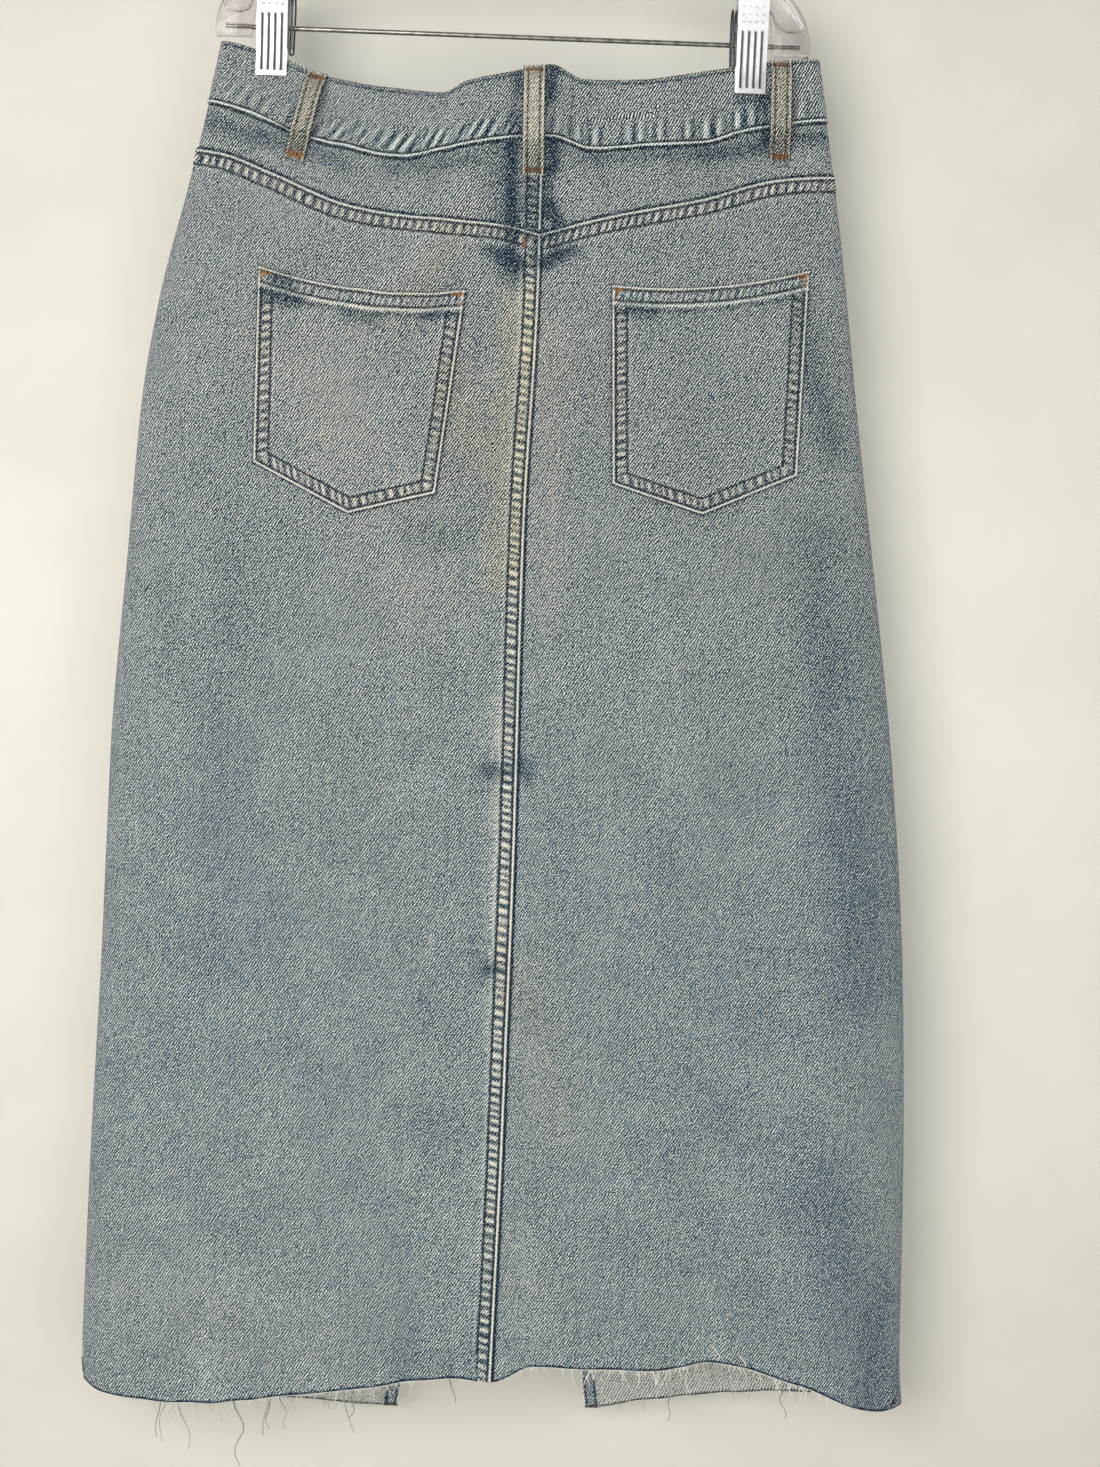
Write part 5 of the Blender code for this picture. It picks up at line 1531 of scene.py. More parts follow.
print("band rows:", len(band_threads), "loop rows:", len(loop_threads))


# %% [markdown]
# ## Bar tacks
# Where a loop end or a pocket corner takes the strain, the machine sews a dense zigzag over a few
# millimetres.  Here the zigzag is many short stitches side by side.

# %% Bar tacks
def bar_tack(start, end, out, tone, seed, height=2.0):
    """A dense zigzag between two points."""
    draw = np.random.default_rng(seed)
    length = float(np.linalg.norm(end - start))
    count = int(length / 0.42)
    along = (end - start) / length
    across = np.cross(along, out / np.linalg.norm(out))
    parts = (np.arange(count) + 0.5) / count
    middle = start + (end - start) * parts[:, None] + across * draw.normal(0, 0.12, (count, 1))
    slant = np.where(np.arange(count) % 2 == 0, 0.28, -0.28)[:, None]
    tones = np.clip(tone + draw.normal(0.0, 0.26, count), 0.0, 1.0)
    lengths = height * draw.uniform(0.85, 1.15, count)
    return Thread(middle, across + along * slant, np.broadcast_to(out, (count, 3)), lengths, tones,
                  np.full(count, 0.27))


def loop_tack(loop, distance, tone, seed):
    """A tack across a loop."""
    reach = LOOP_WIDTH / 2 - 1.6
    ends = loop_points(loop, np.full(2, distance), np.array([-reach, reach]), STRAP_CLOTH + 0.4)
    below = loop_points(loop, np.full(1, distance), np.zeros(1), 0.0)[0]
    return bar_tack(ends[0], ends[1], ends.mean(axis=0) - below, tone, seed, height=3.8)


def cloth_tack(side, start, end, out, tone, seed):
    """A tack between two places of the cloth."""
    x, depth = np.array([start[0], end[0]]), np.array([start[1], end[1]])
    base, normal = surface(angle_at(x, depth), depth, side)
    points = base + normal * out
    return bar_tack(points[0], points[1], normal[0], tone, seed)


tacks = []
for number, loop in enumerate(LOOPS):
    length = loop_length(loop)
    tacks.append(loop_tack(loop, 3.4, 0.5, 430 + number))
    tacks.append(loop_tack(loop, length - 3.2, 0.6, 440 + number))
for number, pocket in enumerate(POCKETS):
    for hand, corner, tone in ((1, pocket.top_left, 0.7), (-1, pocket.top_right, 0.88)):
        near, far = (corner.x + hand * step for step in (2.6, 8.6))
        for k, x in enumerate((near, near + hand * 1.6)):
            top = float(top_depth(pocket, x))
            tacks.append(cloth_tack(BACK, (x, top + 1.8), (x, top + 9.4 - 3.4 * k), HEM_OUT + 0.15,
                                    tone, 450 + 8 * number + 2 * k + hand))
        top = float(top_depth(pocket, far))
        tacks.append(cloth_tack(BACK, (near, top + 2.6), (far, top + 2.8), HEM_OUT + 0.2, 0.75,
                                470 + 4 * number + hand))
for hand in (-1, 1):
    near, far = (CENTRE_FRONT_X + hand * (SLIT_HALF_OPENING + step) for step in (0.6, 8.6))
    ends = [(x, float(hem_line[FRONT](x)) - 1.0) for x in (near, far)]
    tacks.append(cloth_tack(FRONT, ends[0], ends[1], -SLIT_HEM_FOLD - 0.1, 0.3, 484 + hand))
tacks += [cloth_tack(*row) for row in (
    (BACK, (11.0, 124.0), (12.5, 129.5), GROOVE_OUT + 0.4, 0.62, 480),
    (FRONT, (9.0, SLIT_TOP - 3.0), (18.0, SLIT_TOP - 2.0), GROOVE_OUT + 0.6, 0.7, 481),
    (BACK, (-226.2, 800.0), (-224.8, 809.0), DENIM + 0.2, 0.2, 490),
    (BACK, (262.5, 801.0), (257.5, 809.5), DENIM + 0.8, 0.05, 491),
    (BACK, (260.0, 802.5), (255.5, 810.0), DENIM + 0.8, 0.3, 492),
)]
print("bar tacks:", len(tacks))

# %% [markdown]
# ## The raw hem
# The skirt was cut off and never hemmed, so yarns hang loose below the edge.  Each yarn is a thin
# four-sided tube that hangs down, curls and thins towards its end; two lie up over the cloth.
# Between them is a fuzz of very short fibres.  The yarns of one edge are one mesh, with three
# strands of tangled yarn along their roots.

# %% Yarn tubes
def tubes(paths, radii, sides=4):
    """Points and faces of closed tubes; paths has one row of points for each tube."""
    count, stations = paths.shape[:2]
    tangent = np.gradient(paths, axis=1)
    tangent /= np.linalg.norm(tangent, axis=-1, keepdims=True) + 1e-9
    reference = np.where(np.abs(tangent[..., 1:2]) > 0.8, [1.0, 0.0, 0.0], [0.0, 1.0, 0.0])
    first = np.cross(tangent, reference)
    first /= np.linalg.norm(first, axis=-1, keepdims=True)
    second = np.cross(tangent, first)
    turns = 2 * np.pi * np.arange(sides) / sides
    ring = (first[:, :, None] * np.cos(turns)[:, None] + second[:, :, None] * np.sin(turns)[:, None])
    points = paths[:, :, None] + ring * radii[:, :, None, None]
    size = stations * sides
    faces = []
    for station in range(stations - 1):
        for k in range(sides):
            a, b = station * sides + k, station * sides + (k + 1) % sides
            faces.append((a, a + sides, b + sides, b))
    faces.append(tuple(range(sides)))
    faces.append(tuple(reversed(range(size - sides, size))))
    faces = [tuple(vertex + k * size for vertex in face) for k in range(count) for face in faces]
    return points.reshape(-1, 3), faces


def add_tubes(name, groups, material):
    """One mesh from several groups of tubes, each with a painted shade from 0, white, to 1, grey."""
    points, faces, shades, first = [], [], [], 0
    for paths, radii, sides, shade in groups:
        group_points, group_faces = tubes(paths, radii, sides)
        points.append(group_points)
        shades.append(np.repeat(shade + np.zeros(len(paths)), len(group_points) // len(paths)))
        faces += [tuple(vertex + first for vertex in face) for face in group_faces]
        first += len(group_points)
    tangle = add_object(name, np.concatenate(points) * MM, faces, material,
                        shade=np.concatenate(shades))
    tangle.data.shade_smooth()
    print(name, "triangles:", sum(len(face) - 2 for face in faces))
    return tangle


# %% Loose yarns of the hem
Fringe = namedtuple("Fringe", "name side x_from x_to count shortest longest seed")
FRINGES = (
    Fringe("fringe_back_left", BACK, -186, 8, 60, 2, 12, 3),
    Fringe("fringe_back_right", BACK, 32, 226, 64, 2, 10, 5),
    Fringe("fringe_front_left", FRONT, -186, -54, 34, 2, 12, 7),
    Fringe("fringe_front_right", FRONT, 92, 226, 38, 2, 9, 11),
)
LongThread = namedtuple("LongThread", "side x length swing")
LONG_THREADS = both_sides(LongThread, (
    (-177, 21, 4), (-172, 24, -5), (-166, 28, 7), (-134, 37, 5), (-111, 22, -4), (-106, 19, 6),
    (-68, 24, 7), (-60, 18, -4), (-6, 14, 3), (66, 11, 3), (88, 14, -4), (97, 10, 3), (105, 9, -4),
    (112, 8, 4), (122, 17, -6), (134, 16, 3), (144, 10, -3), (151, -10, -5), (168, -8, -5), (174, 9, 7),
    (186, 7, 3), (195, 9, -2),
), (
    (-120, 21, 5), (128, 15, -4), (196, 17, 4),
))
YARN_RADIUS = 0.38
UNSHADED_FROM = 40.0
YARN_STATIONS = 9
ROOT_OVERLAP = 1.2
FUZZ_PER_MM = 2.4


def hem_points(x, depth, side, out):
    """Points near the hem, out millimetres out of the cloth's inner face, on its curled edge."""
    hem = hem_line[side](x)
    curl = hem_curl(x, np.minimum(depth, hem), side)
    base, normal = surface(angle_at(x, np.minimum(depth, hem)), np.minimum(depth, hem), side)
    points = base + normal * (out + curl)[..., None]
    points[..., 2] -= np.maximum(depth - hem, 0.0)
    return points


def hanging_yarns(side, roots, lengths, swings, draw):
    """Paths of yarns that hang from the hem and curl."""
    part = np.linspace(0.0, 1.0, YARN_STATIONS)
    phase = draw.uniform(0, 2 * np.pi, (len(roots), 1))
    turns = draw.uniform(0.4, 1.3, (len(roots), 1))
    wave = np.sin(phase + turns * 2 * np.pi * part) - np.sin(phase)
    x = roots[:, None] + swings[:, None] * part ** 1.4 * 0.6 + 0.09 * lengths[:, None] * wave
    depth = hem_line[side](roots)[:, None] - ROOT_OVERLAP + (lengths[:, None] + ROOT_OVERLAP) * part
    side_wave = np.cos(phase + turns * 2 * np.pi * part) - np.cos(phase)
    out = DENIM / 2 + 0.05 * np.abs(lengths[:, None]) * side_wave + 0.7 * part
    out = np.where(lengths[:, None] < 0, DENIM + 0.5 + 0.4 * part, out)
    return hem_points(x, depth, side, out)


def make_fringe(fringe, material):
    """All loose yarns and fuzz of one stretch of the hem."""
    draw = np.random.default_rng(fringe.seed)
    longs = [thread for thread in LONG_THREADS
             if thread.side == fringe.side and fringe.x_from < thread.x < fringe.x_to]
    roots = np.concatenate([np.sort(draw.uniform(fringe.x_from, fringe.x_to, fringe.count)),
                            [thread.x for thread in longs]])
    spread = fringe.shortest + (fringe.longest - fringe.shortest) * draw.random(fringe.count) ** 2.2
    lengths = np.concatenate([spread, [thread.length for thread in longs]])
    swings = np.concatenate([draw.normal(0, 2.6, fringe.count), [thread.swing for thread in longs]])
    paths = hanging_yarns(fringe.side, roots, lengths, swings, draw)
    thinning = YARN_RADIUS * np.linspace(1.0, 0.6, YARN_STATIONS)
    radii = thinning * draw.uniform(0.7, 1.1, (len(roots), 1))
    count = int((fringe.x_to - fringe.x_from + 44) * FUZZ_PER_MM)
    fuzz_x = draw.uniform(fringe.x_from - 22, fringe.x_to + 22, count)
    fuzz_x = np.clip(fuzz_x, -222, 257)
    part = np.linspace(0.0, 1.0, 4)
    length = draw.uniform(0.5, 2.6, (count, 1)) ** 1.15
    lean = draw.normal(0, 1.1, (count, 1))
    depth = hem_line[fringe.side](fuzz_x)[:, None] - 0.4 + length * part
    out = DENIM * draw.random((count, 1)) + draw.normal(0, 0.5, (count, 1)) * part
    fuzz = hem_points(fuzz_x[:, None] + lean * part ** 1.5, depth, fringe.side, out)
    fuzz_radii = np.full((count, 4), 0.15) * np.linspace(1.0, 0.5, 4)
    edge_x = np.arange(fringe.x_from - 3.0, fringe.x_to + 3.0, 1.6)
    ropes = []
    for strand in range(3):
        sway = 0.35 * np.sin(edge_x * (0.9 + 0.23 * strand) + 2.1 * strand)
        ropes.append(hem_points(edge_x, hem_line[fringe.side](edge_x) + 0.35 + 0.3 * sway,
                                fringe.side, DENIM / 2 + sway))
    rope_radii = np.full((3, len(edge_x)), 0.24)
    # Painted shade: yarns left of 40 mm and all yarns on the front turn grey, short ones only a little.
    grey = np.where((roots < UNSHADED_FROM) | (fringe.side == FRONT), 1.0, 0.0)
    shade = grey * np.where(np.arange(len(roots)) < fringe.count, 0.35, 1.0)
    return add_tubes(fringe.name + "_yarns", [(paths, radii, 4, shade), (fuzz, fuzz_radii, 3, 0.0),
                                              (np.stack(ropes), rope_radii, 4, 0.0)], material)


def yarn_material():
    """Undyed cotton yarn, soft and white, turned grey by the painted shade stored on its points."""
    material, tree, shader = new_material("cotton_yarn", {
        "Roughness": 0.9, "Sheen Weight": 0.3, "Specular IOR Level": 0.2})
    place = own_place(tree)
    speckle = noise(tree, place, 90.0, detail=3.0)
    stops = ((0.3, (214, 212, 202)), (0.5, (238, 236, 228)), (0.7, (250, 249, 244)))
    shade = stored(tree, "shade")
    grey = ramp(tree, speckle, ((0.3, (128, 122, 112)), (0.7, (176, 170, 158))))
    tree.links.new(mixed(tree, shade, ramp(tree, speckle, stops), grey), shader.inputs["Base Color"])
    add_bump(tree, shader, noise(tree, place, 2400.0), 0.0002, 0.6)
    return material


yarn = yarn_material()
fringe_pieces = {fringe.name: make_fringe(fringe, yarn) for fringe in FRINGES}
print("fringes:", len(fringe_pieces))

# %% [markdown]
# ## The fly
# Two rows of stitches hold the fly's facing on the lapping side, straight down and then curved in
# to the centre seam.  A bar tack ends them.

# %% Fly stitches
FLY_WIDTH = 38.0
FLY_CURVE = 46.0
FLY_FOOT = 246.0


def fly_row(inset, seed):
    """One row of the fly: straight down, then a quarter turn in to the centre seam."""
    straight = np.arange(front_top + 4.0, FLY_FOOT - FLY_CURVE, 1.0)
    turn = np.linspace(0.0, math.pi / 2, 60)
    width = FLY_WIDTH - inset
    x = np.concatenate([np.full(len(straight), CENTRE_FRONT_X - width),
                        CENTRE_FRONT_X - width * np.cos(turn)])
    depth = np.concatenate([straight, FLY_FOOT - FLY_CURVE + (FLY_CURVE - inset) * np.sin(turn)])
    keep = x < CENTRE_FRONT_X - 2.0
    return seam_line(FRONT, x[keep], depth[keep], DENIM + 0.05, 0.3, seed)


fly_threads = [fly_row(0.0, 500), fly_row(6.2, 501)]
tacks.append(cloth_tack(FRONT, (2.0, FLY_FOOT - 3.0), (9.0, FLY_FOOT + 3.0), DENIM + 0.3, 0.75, 502))
button_depth = float(waist_line[FRONT](CENTRE_FRONT_X) + band_seam[FRONT](CENTRE_FRONT_X)) / 2
LAP_TOP = 2 * BAND_CLOTH + SEAM_GAP
for number, rise in enumerate((-1.7, 1.7)):
    place = button_depth + rise
    tacks.append(cloth_tack(FRONT, (CENTRE_FRONT_X - 12.0, place), (CENTRE_FRONT_X + 11.0, place),
                            LAP_TOP + 0.1, 0.45, 503 + number))
print("fly rows:", len(fly_threads), "button depth:", round(button_depth, 1))

# %% [markdown]
# ## The zip
# The closed zip is sewn behind the fly: a woven tape, two rows of small metal teeth that
# interlock, and a slider with a pull tab at the top.  One tooth is modelled and copied down the
# zip.

# %% Zip tape
ZIP_TOP = 92.0
ZIP_FOOT = 235.0
ZIP_TAPE = 1.2
ZIP_BACK = -LAYER_GAP - ZIP_TAPE
ZIP_PITCH = 2.1
TOOTH_REACH = 1.1
TOOTH_HALF = 0.55


def zip_tape_grid():
    """The tape, with a cord down each side of its teeth."""
    half = np.array((1.2, 2.6, 3.4, 4.2, 5, 7, 9, 11, 13))
    across = np.concatenate([-half[::-1], [0], half])
    depth = np.linspace(ZIP_TOP, ZIP_FOOT, 72)[:, None]
    angle = angle_at(CENTRE_FRONT_X + across, depth)
    cord = 0.25 * bump_at(np.abs(across), 3.4, 0.9)
    return make_grid(angle, depth, FRONT, ZIP_BACK - cord, -LAYER_GAP, np.zeros(angle.shape + (3,)))


def tape_material():
    """Close woven cotton tape, grey blue."""
    material, tree, shader = new_material("zip_tape_weave", {"Roughness": 0.9})
    place = add_node(tree, "ShaderNodeUVMap", uv_map="yarn").outputs["UV"]
    weave = add_node(tree, "ShaderNodeTexWave", {"Vector": place, "Scale": 240.0, "Distortion": 0.6},
                     wave_type="BANDS", bands_direction="DIAGONAL").outputs["Fac"]
    cloud = noise(tree, place, 300.0, detail=3.0)
    value = plus(tree, times(tree, weave, 0.5), times(tree, cloud, 0.5))
    stops = ((0.2, (74, 82, 90)), (0.5, (112, 120, 124)), (0.8, (150, 154, 152)))
    tree.links.new(ramp(tree, value, stops), shader.inputs["Base Color"])
    add_bump(tree, shader, weave, 0.0002, 0.7)
    return material


zip_tape = add_cloth("zip_tape_cloth", [zip_tape_grid()], tape_material())
print("zip tape faces:", len(zip_tape.data.polygons))


# %% Small metal materials
def metal_material(name, stops, roughness, tarnish_scale, sunk_shade_colour=None):
    """Plated or bare metal with fine scratches, and painted shade in its sunk parts."""
    material, tree, shader = new_material(name, {"Roughness": roughness, "Metallic": 1.0})
    place = own_place(tree)
    cloud = noise(tree, place, tarnish_scale, detail=5.0, roughness=0.65)
    colour = ramp(tree, cloud, stops)
    if sunk_shade_colour is not None:
        colour = mixed(tree, stored(tree, "sunk"), colour, screen(sunk_shade_colour))
    tree.links.new(colour, shader.inputs["Base Color"])
    uneven = add_node(tree, "ShaderNodeMapRange", {"Value": cloud, "To Min": roughness * 0.75,
                                                   "To Max": roughness * 1.35}).outputs["Result"]
    tree.links.new(uneven, shader.inputs["Roughness"])
    add_bump(tree, shader, noise(tree, place, 900.0, detail=3.0), 0.00006, 0.4)
    return material


BRASS_STOPS = ((0.3, (92, 70, 44)), (0.55, (150, 118, 74)), (0.75, (178, 146, 98)))
SPRING_STOPS = ((0.3, (66, 66, 68)), (0.7, (112, 113, 116)))
DRAWN_STOPS = ((0.35, (112, 110, 107)), (0.6, (158, 156, 151)))
brass = metal_material("aged_brass_metal", BRASS_STOPS, 0.36, 260.0)
steel = metal_material("nickel_plate", ((0.35, (204, 208, 209)), (0.6, (222, 225, 225))), 0.36, 180.0,
                       sunk_shade_colour=(52, 56, 58))
spring_steel = metal_material("dark_spring_steel", SPRING_STOPS, 0.32, 400.0)
drawn_steel = metal_material("drawn_steel", DRAWN_STOPS, 0.24, 180.0)
print("metals:", brass.name, steel.name, spring_steel.name, drawn_steel.name)


# %% Helpers for hand modelling
def edit_mode():
    """Go inside the active piece, to work on its mesh."""
    bpy.ops.object.mode_set(mode="EDIT")


def leave_edit_mode():
    """Come back out of the mesh."""
    bpy.ops.object.mode_set(mode="OBJECT")


def select_all():
    """Select the whole mesh in edit mode."""
    bpy.ops.mesh.select_all(action="SELECT")


def select_only(piece):
    """Select one piece and make it the active one."""
    for item in bpy.context.selected_objects:
        item.select_set(False)
    piece.select_set(True)
    bpy.context.view_layer.objects.active = piece


def select_points(piece, keep):
    """Select in edit mode the points whose place, in millimetres, passes the test."""
    shape = bmesh.from_edit_mesh(piece.data)
    for vertex in shape.verts:
        vertex.select_set(bool(keep(vertex.co / MM)))
    shape.select_flush(True)
    shape.select_flush(False)
    bmesh.update_edit_mesh(piece.data)


def select_faces(piece, keep):
    """Select in edit mode the faces whose middle, in millimetres, and normal pass the test."""
    bpy.ops.mesh.select_mode(type="FACE")
    shape = bmesh.from_edit_mesh(piece.data)
    for face in shape.faces:
        face.select_set(bool(keep(face.calc_center_median() / MM, face.normal)))
    bmesh.update_edit_mesh(piece.data)


def move(x=0.0, y=0.0, z=0.0):
    """Move what is selected, by millimetres."""
    bpy.ops.transform.translate(value=(x * MM, y * MM, z * MM))


def extrude(part, x=0.0, y=0.0, z=0.0):
    """Pull a new part, vertices, edges or a region, out of what is selected, by millimetres."""
    pull_out = getattr(bpy.ops.mesh, f"extrude_{part}_move")
    pull_out(TRANSFORM_OT_translate={"value": (x * MM, y * MM, z * MM)})


def cut_plane(place, normal):
    """Cut all that is selected along a plane."""
    bpy.ops.mesh.bisect(plane_co=[value * MM for value in place], plane_no=normal)


def apply_modifier(piece, kind, **fields):
    """Add a modifier to a piece and apply it."""
    modifier = piece.modifiers.new(kind.lower(), kind)
    for field, value in fields.items():
        setattr(modifier, field, value)
    bpy.context.view_layer.objects.active = piece
    bpy.ops.object.modifier_apply(modifier=modifier.name)


def bevel(piece, width, segments, sharp_from=30.0):
    """Bevel by millimetres the edges that turn by more than an angle."""
    apply_modifier(piece, "BEVEL", width=width * MM, segments=segments, limit_method="ANGLE",
                   angle_limit=math.radians(sharp_from))


def finish_piece(piece, name, material, sharp_from=35.0):
    """Name a piece, smooth it by angle, and put its place into its mesh."""
    select_only(piece)
    piece.name = piece.data.name = name
    bpy.ops.object.transform_apply()
    bpy.ops.object.shade_smooth_by_angle(angle=math.radians(sharp_from))
    piece.data.materials.clear()
    piece.data.materials.append(material)
    piece.select_set(False)
    return piece


def copy_piece(piece, name, turn=None):
    """A copy with its own mesh, turned or moved by a matrix."""
    copied = piece.copy()
    copied.data = piece.data.copy()
    copied.name = copied.data.name = name
    if turn is not None:
        copied.data.transform(turn)
    bpy.context.collection.objects.link(copied)
    return copied


# %% One zip tooth and its copies
bpy.ops.mesh.primitive_cube_add(size=1.0)
tooth = bpy.context.object
tooth.scale = (3.0 * MM, 0.9 * MM, 1.1 * MM)
bpy.ops.object.transform_apply()
edit_mode()
select_faces(tooth, lambda middle, normal: normal.x > 0.5)
extrude("region", x=0.7)
bpy.ops.transform.resize(value=(1.0, 0.7, 0.6))
leave_edit_mode()
bevel(tooth, 0.12, 1)
TOOTH_POINTS, TOOTH_FACES = as_model(tooth)


def front_point(depth):
    """The point of the cloth's inner face at the centre front, and the way out of the cloth."""
    angle = angle_at(np.array([CENTRE_FRONT_X]), depth)
    base, normal = surface(angle, np.full(1, depth), FRONT)
    return base[0], normal[0]


def zip_teeth():
    """Both rows of teeth as one mesh, each tooth half a pitch from those it meets."""
    points, faces = [], []
    for hand in (-1, 1):
        start = ZIP_TOP + 12.0 + (0.5 * ZIP_PITCH if hand > 0 else 0.0)
        drops = np.arange(start, ZIP_FOOT - 6.0, ZIP_PITCH)
        for drop in drops:
            base, out = front_point(drop)
            across = np.array([out[1], -out[0], 0.0])
            across /= np.linalg.norm(across)
            local = TOOTH_POINTS / MM * (-hand, 1, 1) + (hand * TOOTH_REACH, 0, 0)
            rows = np.stack([across, out, (0, 0, 1)])
            first = len(points) * len(TOOTH_POINTS)
            points.append(base + out * (ZIP_BACK - TOOTH_HALF) + local @ rows)
            turned = [face[::-1] if hand > 0 else face for face in TOOTH_FACES]
            faces += [[vertex + first for vertex in face] for face in turned]
    teeth = add_object("zip_teeth", np.concatenate(points) * MM, faces, brass)
    print("teeth:", len(points), "triangles:", sum(len(face) - 2 for face in faces))
    return teeth


teeth = zip_teeth()

# %% [markdown]
# ## The slider and its pull
# The slider's body is a short wedge, wider at its top where the two rows part, with a bridge on
# its back and a flat pull tab, sunk on both faces, that hangs from the bridge.

# %% Slider
SLIDER_TOP = ZIP_TOP + 4.0
SLIDER_HALF_LENGTH = 5.0
SLIDER_HALF_DEPTH = 0.8
slider_base, slider_out = front_point(SLIDER_TOP + SLIDER_HALF_LENGTH)
slider_place = slider_base + slider_out * (ZIP_BACK - SEAM_GAP - SLIDER_HALF_DEPTH)

bpy.ops.mesh.primitive_cube_add(size=1.0)
slider = bpy.context.object
slider.scale = (6.0 * MM, 2 * SLIDER_HALF_DEPTH * MM, 2 * SLIDER_HALF_LENGTH * MM)
bpy.ops.object.transform_apply()
edit_mode()
select_all()
cut_plane((0, 0, 1.0), (0, 0, 1))
select_points(slider, lambda co: abs(co.z - 1.0) < 0.1)
bpy.ops.transform.resize(value=(1.22, 1.0, 1.0))
select_points(slider, lambda co: co.z < -4.5)
bpy.ops.transform.resize(value=(0.72, 1.0, 1.0))
select_faces(slider, lambda middle, normal: normal.y < -0.5)
bpy.ops.mesh.inset(thickness=0.8 * MM, depth=-0.25 * MM)
leave_edit_mode()
bevel(slider, 0.3, 2)

bpy.ops.mesh.primitive_torus_add(major_segments=16, minor_segments=8, major_radius=2.0 * MM,
                                 minor_radius=0.45 * MM, location=(0, -1.0 * MM, 1.0 * MM),
                                 rotation=(0, math.pi / 2, 0))
bridge = bpy.context.object
bpy.ops.mesh.primitive_cylinder_add(vertices=24, radius=2.6 * MM, depth=0.8 * MM,
                                    location=(0, -2.0 * MM, -9.0 * MM), rotation=(math.pi / 2, 0, 0))
pull = bpy.context.object
bpy.ops.object.transform_apply()
edit_mode()
select_points(pull, lambda co: co.z > -9.0)
move(z=9.2)
bpy.ops.transform.resize(value=(0.62, 1.0, 0.62))
select_faces(pull, lambda middle, normal: abs(normal.y) > 0.5)
bpy.ops.mesh.inset(thickness=0.7 * MM, depth=-0.18 * MM)
leave_edit_mode()
bevel(pull, 0.12, 2)
for item in (bridge, pull, slider):
    item.select_set(True)
bpy.context.view_layer.objects.active = slider
bpy.ops.object.join()
slider.location = slider_place * MM
slider = finish_piece(slider, "zip_slider_metal", brass)
print("slider faces:", len(slider.data.polygons))

# %% [markdown]
# ## The button
# A shank button like those on jeans: a turned brass cap with a raised rim, a sunk ring and a low
# dome.  It is shaped from a disc by insets and extrusions, then set on the lap of the waistband.

# %% Button
BUTTON_RADIUS = 8.5
button_base, button_out = (Vector(values) for values in front_point(button_depth))
button_place = button_base + button_out * (LAP_TOP + LAYER_GAP)

bpy.ops.mesh.primitive_cylinder_add(vertices=40, radius=0.62 * BUTTON_RADIUS * MM, depth=0.4 * MM,
                                    location=(0, 0, 0.2 * MM))
button = bpy.context.object
bpy.ops.object.transform_apply()
edit_mode()
for rise, widen in ((1.1, 1.53), (1.1, 1.05), (0.7, 0.975), (0.35, 0.95)):
    select_faces(button, lambda middle, normal: normal.z > 0.9 and middle.xy.length < 0.1)
    extrude("region", z=rise)
    bpy.ops.transform.resize(value=(widen, widen, 1.0))
for width, drop in ((0.9, 0.0), (0.5, -0.55), (1.3, -0.05), (0.5, 0.45), (2.0, 0.2), (1.2, -0.2)):
    select_faces(button, lambda middle, normal: normal.z > 0.9 and middle.xy.length < 0.1)
    bpy.ops.mesh.inset(thickness=width * MM, depth=drop * MM)
leave_edit_mode()
bevel(button, 0.12, 2)
button.rotation_euler = button_out.to_track_quat("Z", "Y").to_euler()
button.location = button_place * MM
button = finish_piece(button, "button_metal", brass, sharp_from=50.0)
print("button faces:", len(button.data.polygons))

# %% [markdown]
# ## The hanger's plastic body
# It is one clear moulding: an arch with a thick rim and a thin web between, a boss for the hook
# and a solid block at each end for the bar.  The outline is drawn corner by corner, filled and
# thickened; the web is sunk from both faces, and the sockets are bored.

# %% Outline of the body
HANGER_THICKNESS = 9.0
HANGER_OUTLINE = (
    (0, 61), (8.5, 61), (10, 56), (20, 52), (60, 49.5), (110, 45.5), (145, 40), (164, 31.5),
    (174, 18), (178, 4), (178, -5.5), (156, -5.5), (156, 8), (150.5, 20), (136, 28.5), (100, 34.5),
    (60, 38), (20, 40), (0, 40.5),
)
KEPT_CORNERS = {(8.5, 61), (178, -5.5), (156, -5.5)}
WEB_OUTLINE = (
    (12, 50.5), (20, 48.9), (60, 46.5), (110, 42.4), (143.5, 37), (161, 29), (170.6, 16.5),
    (174.4, 9), (159.6, 9), (154, 21.5), (137.5, 31.6), (100.5, 37.6), (60, 41.1), (20, 43.2),
    (12, 43.5),
)
WEB_SINK = 2.9
ROUNDS = 2


def rounded(corners):
    """An outline with its soft corners rounded."""
    for _ in range(ROUNDS):
        finer = []
        for k, corner in enumerate(corners):
            before, after = corners[k - 1], corners[(k + 1) % len(corners)]
            if (abs(corner[0]), corner[1]) in KEPT_CORNERS:
                finer.append(corner)
                continue
            finer += [tuple(blend(c, b, 0.25) for c, b in zip(corner, before)),
                      tuple(blend(c, a, 0.25) for c, a in zip(corner, after))]
        corners = finer
    return corners


def draw_line(places):
    """A new piece, left in edit mode: a line drawn from place to place, all of it selected."""
    bpy.ops.mesh.primitive_plane_add(size=MM)
    line = bpy.context.object
    edit_mode()
    bpy.ops.mesh.select_mode(type="VERT")
    bpy.ops.mesh.merge(type="CENTER")
    select_all()
    move(*places[0])
    for here, there in zip(places, places[1:]):
        extrude("vertices", *(new - old for new, old in zip(there, here)))
    select_all()
    return line


def draw_plate(corners, front, back):
    """A drawn outline, filled and thickened; corners are across and above the bar."""
    plate = draw_line([(across, front, up - BAR_DROP) for across, up in corners])
    bpy.ops.mesh.edge_face_add()
    extrude("region", y=back - front)
    select_all()
    bpy.ops.mesh.normals_make_consistent(inside=False)
    leave_edit_mode()
    return plate


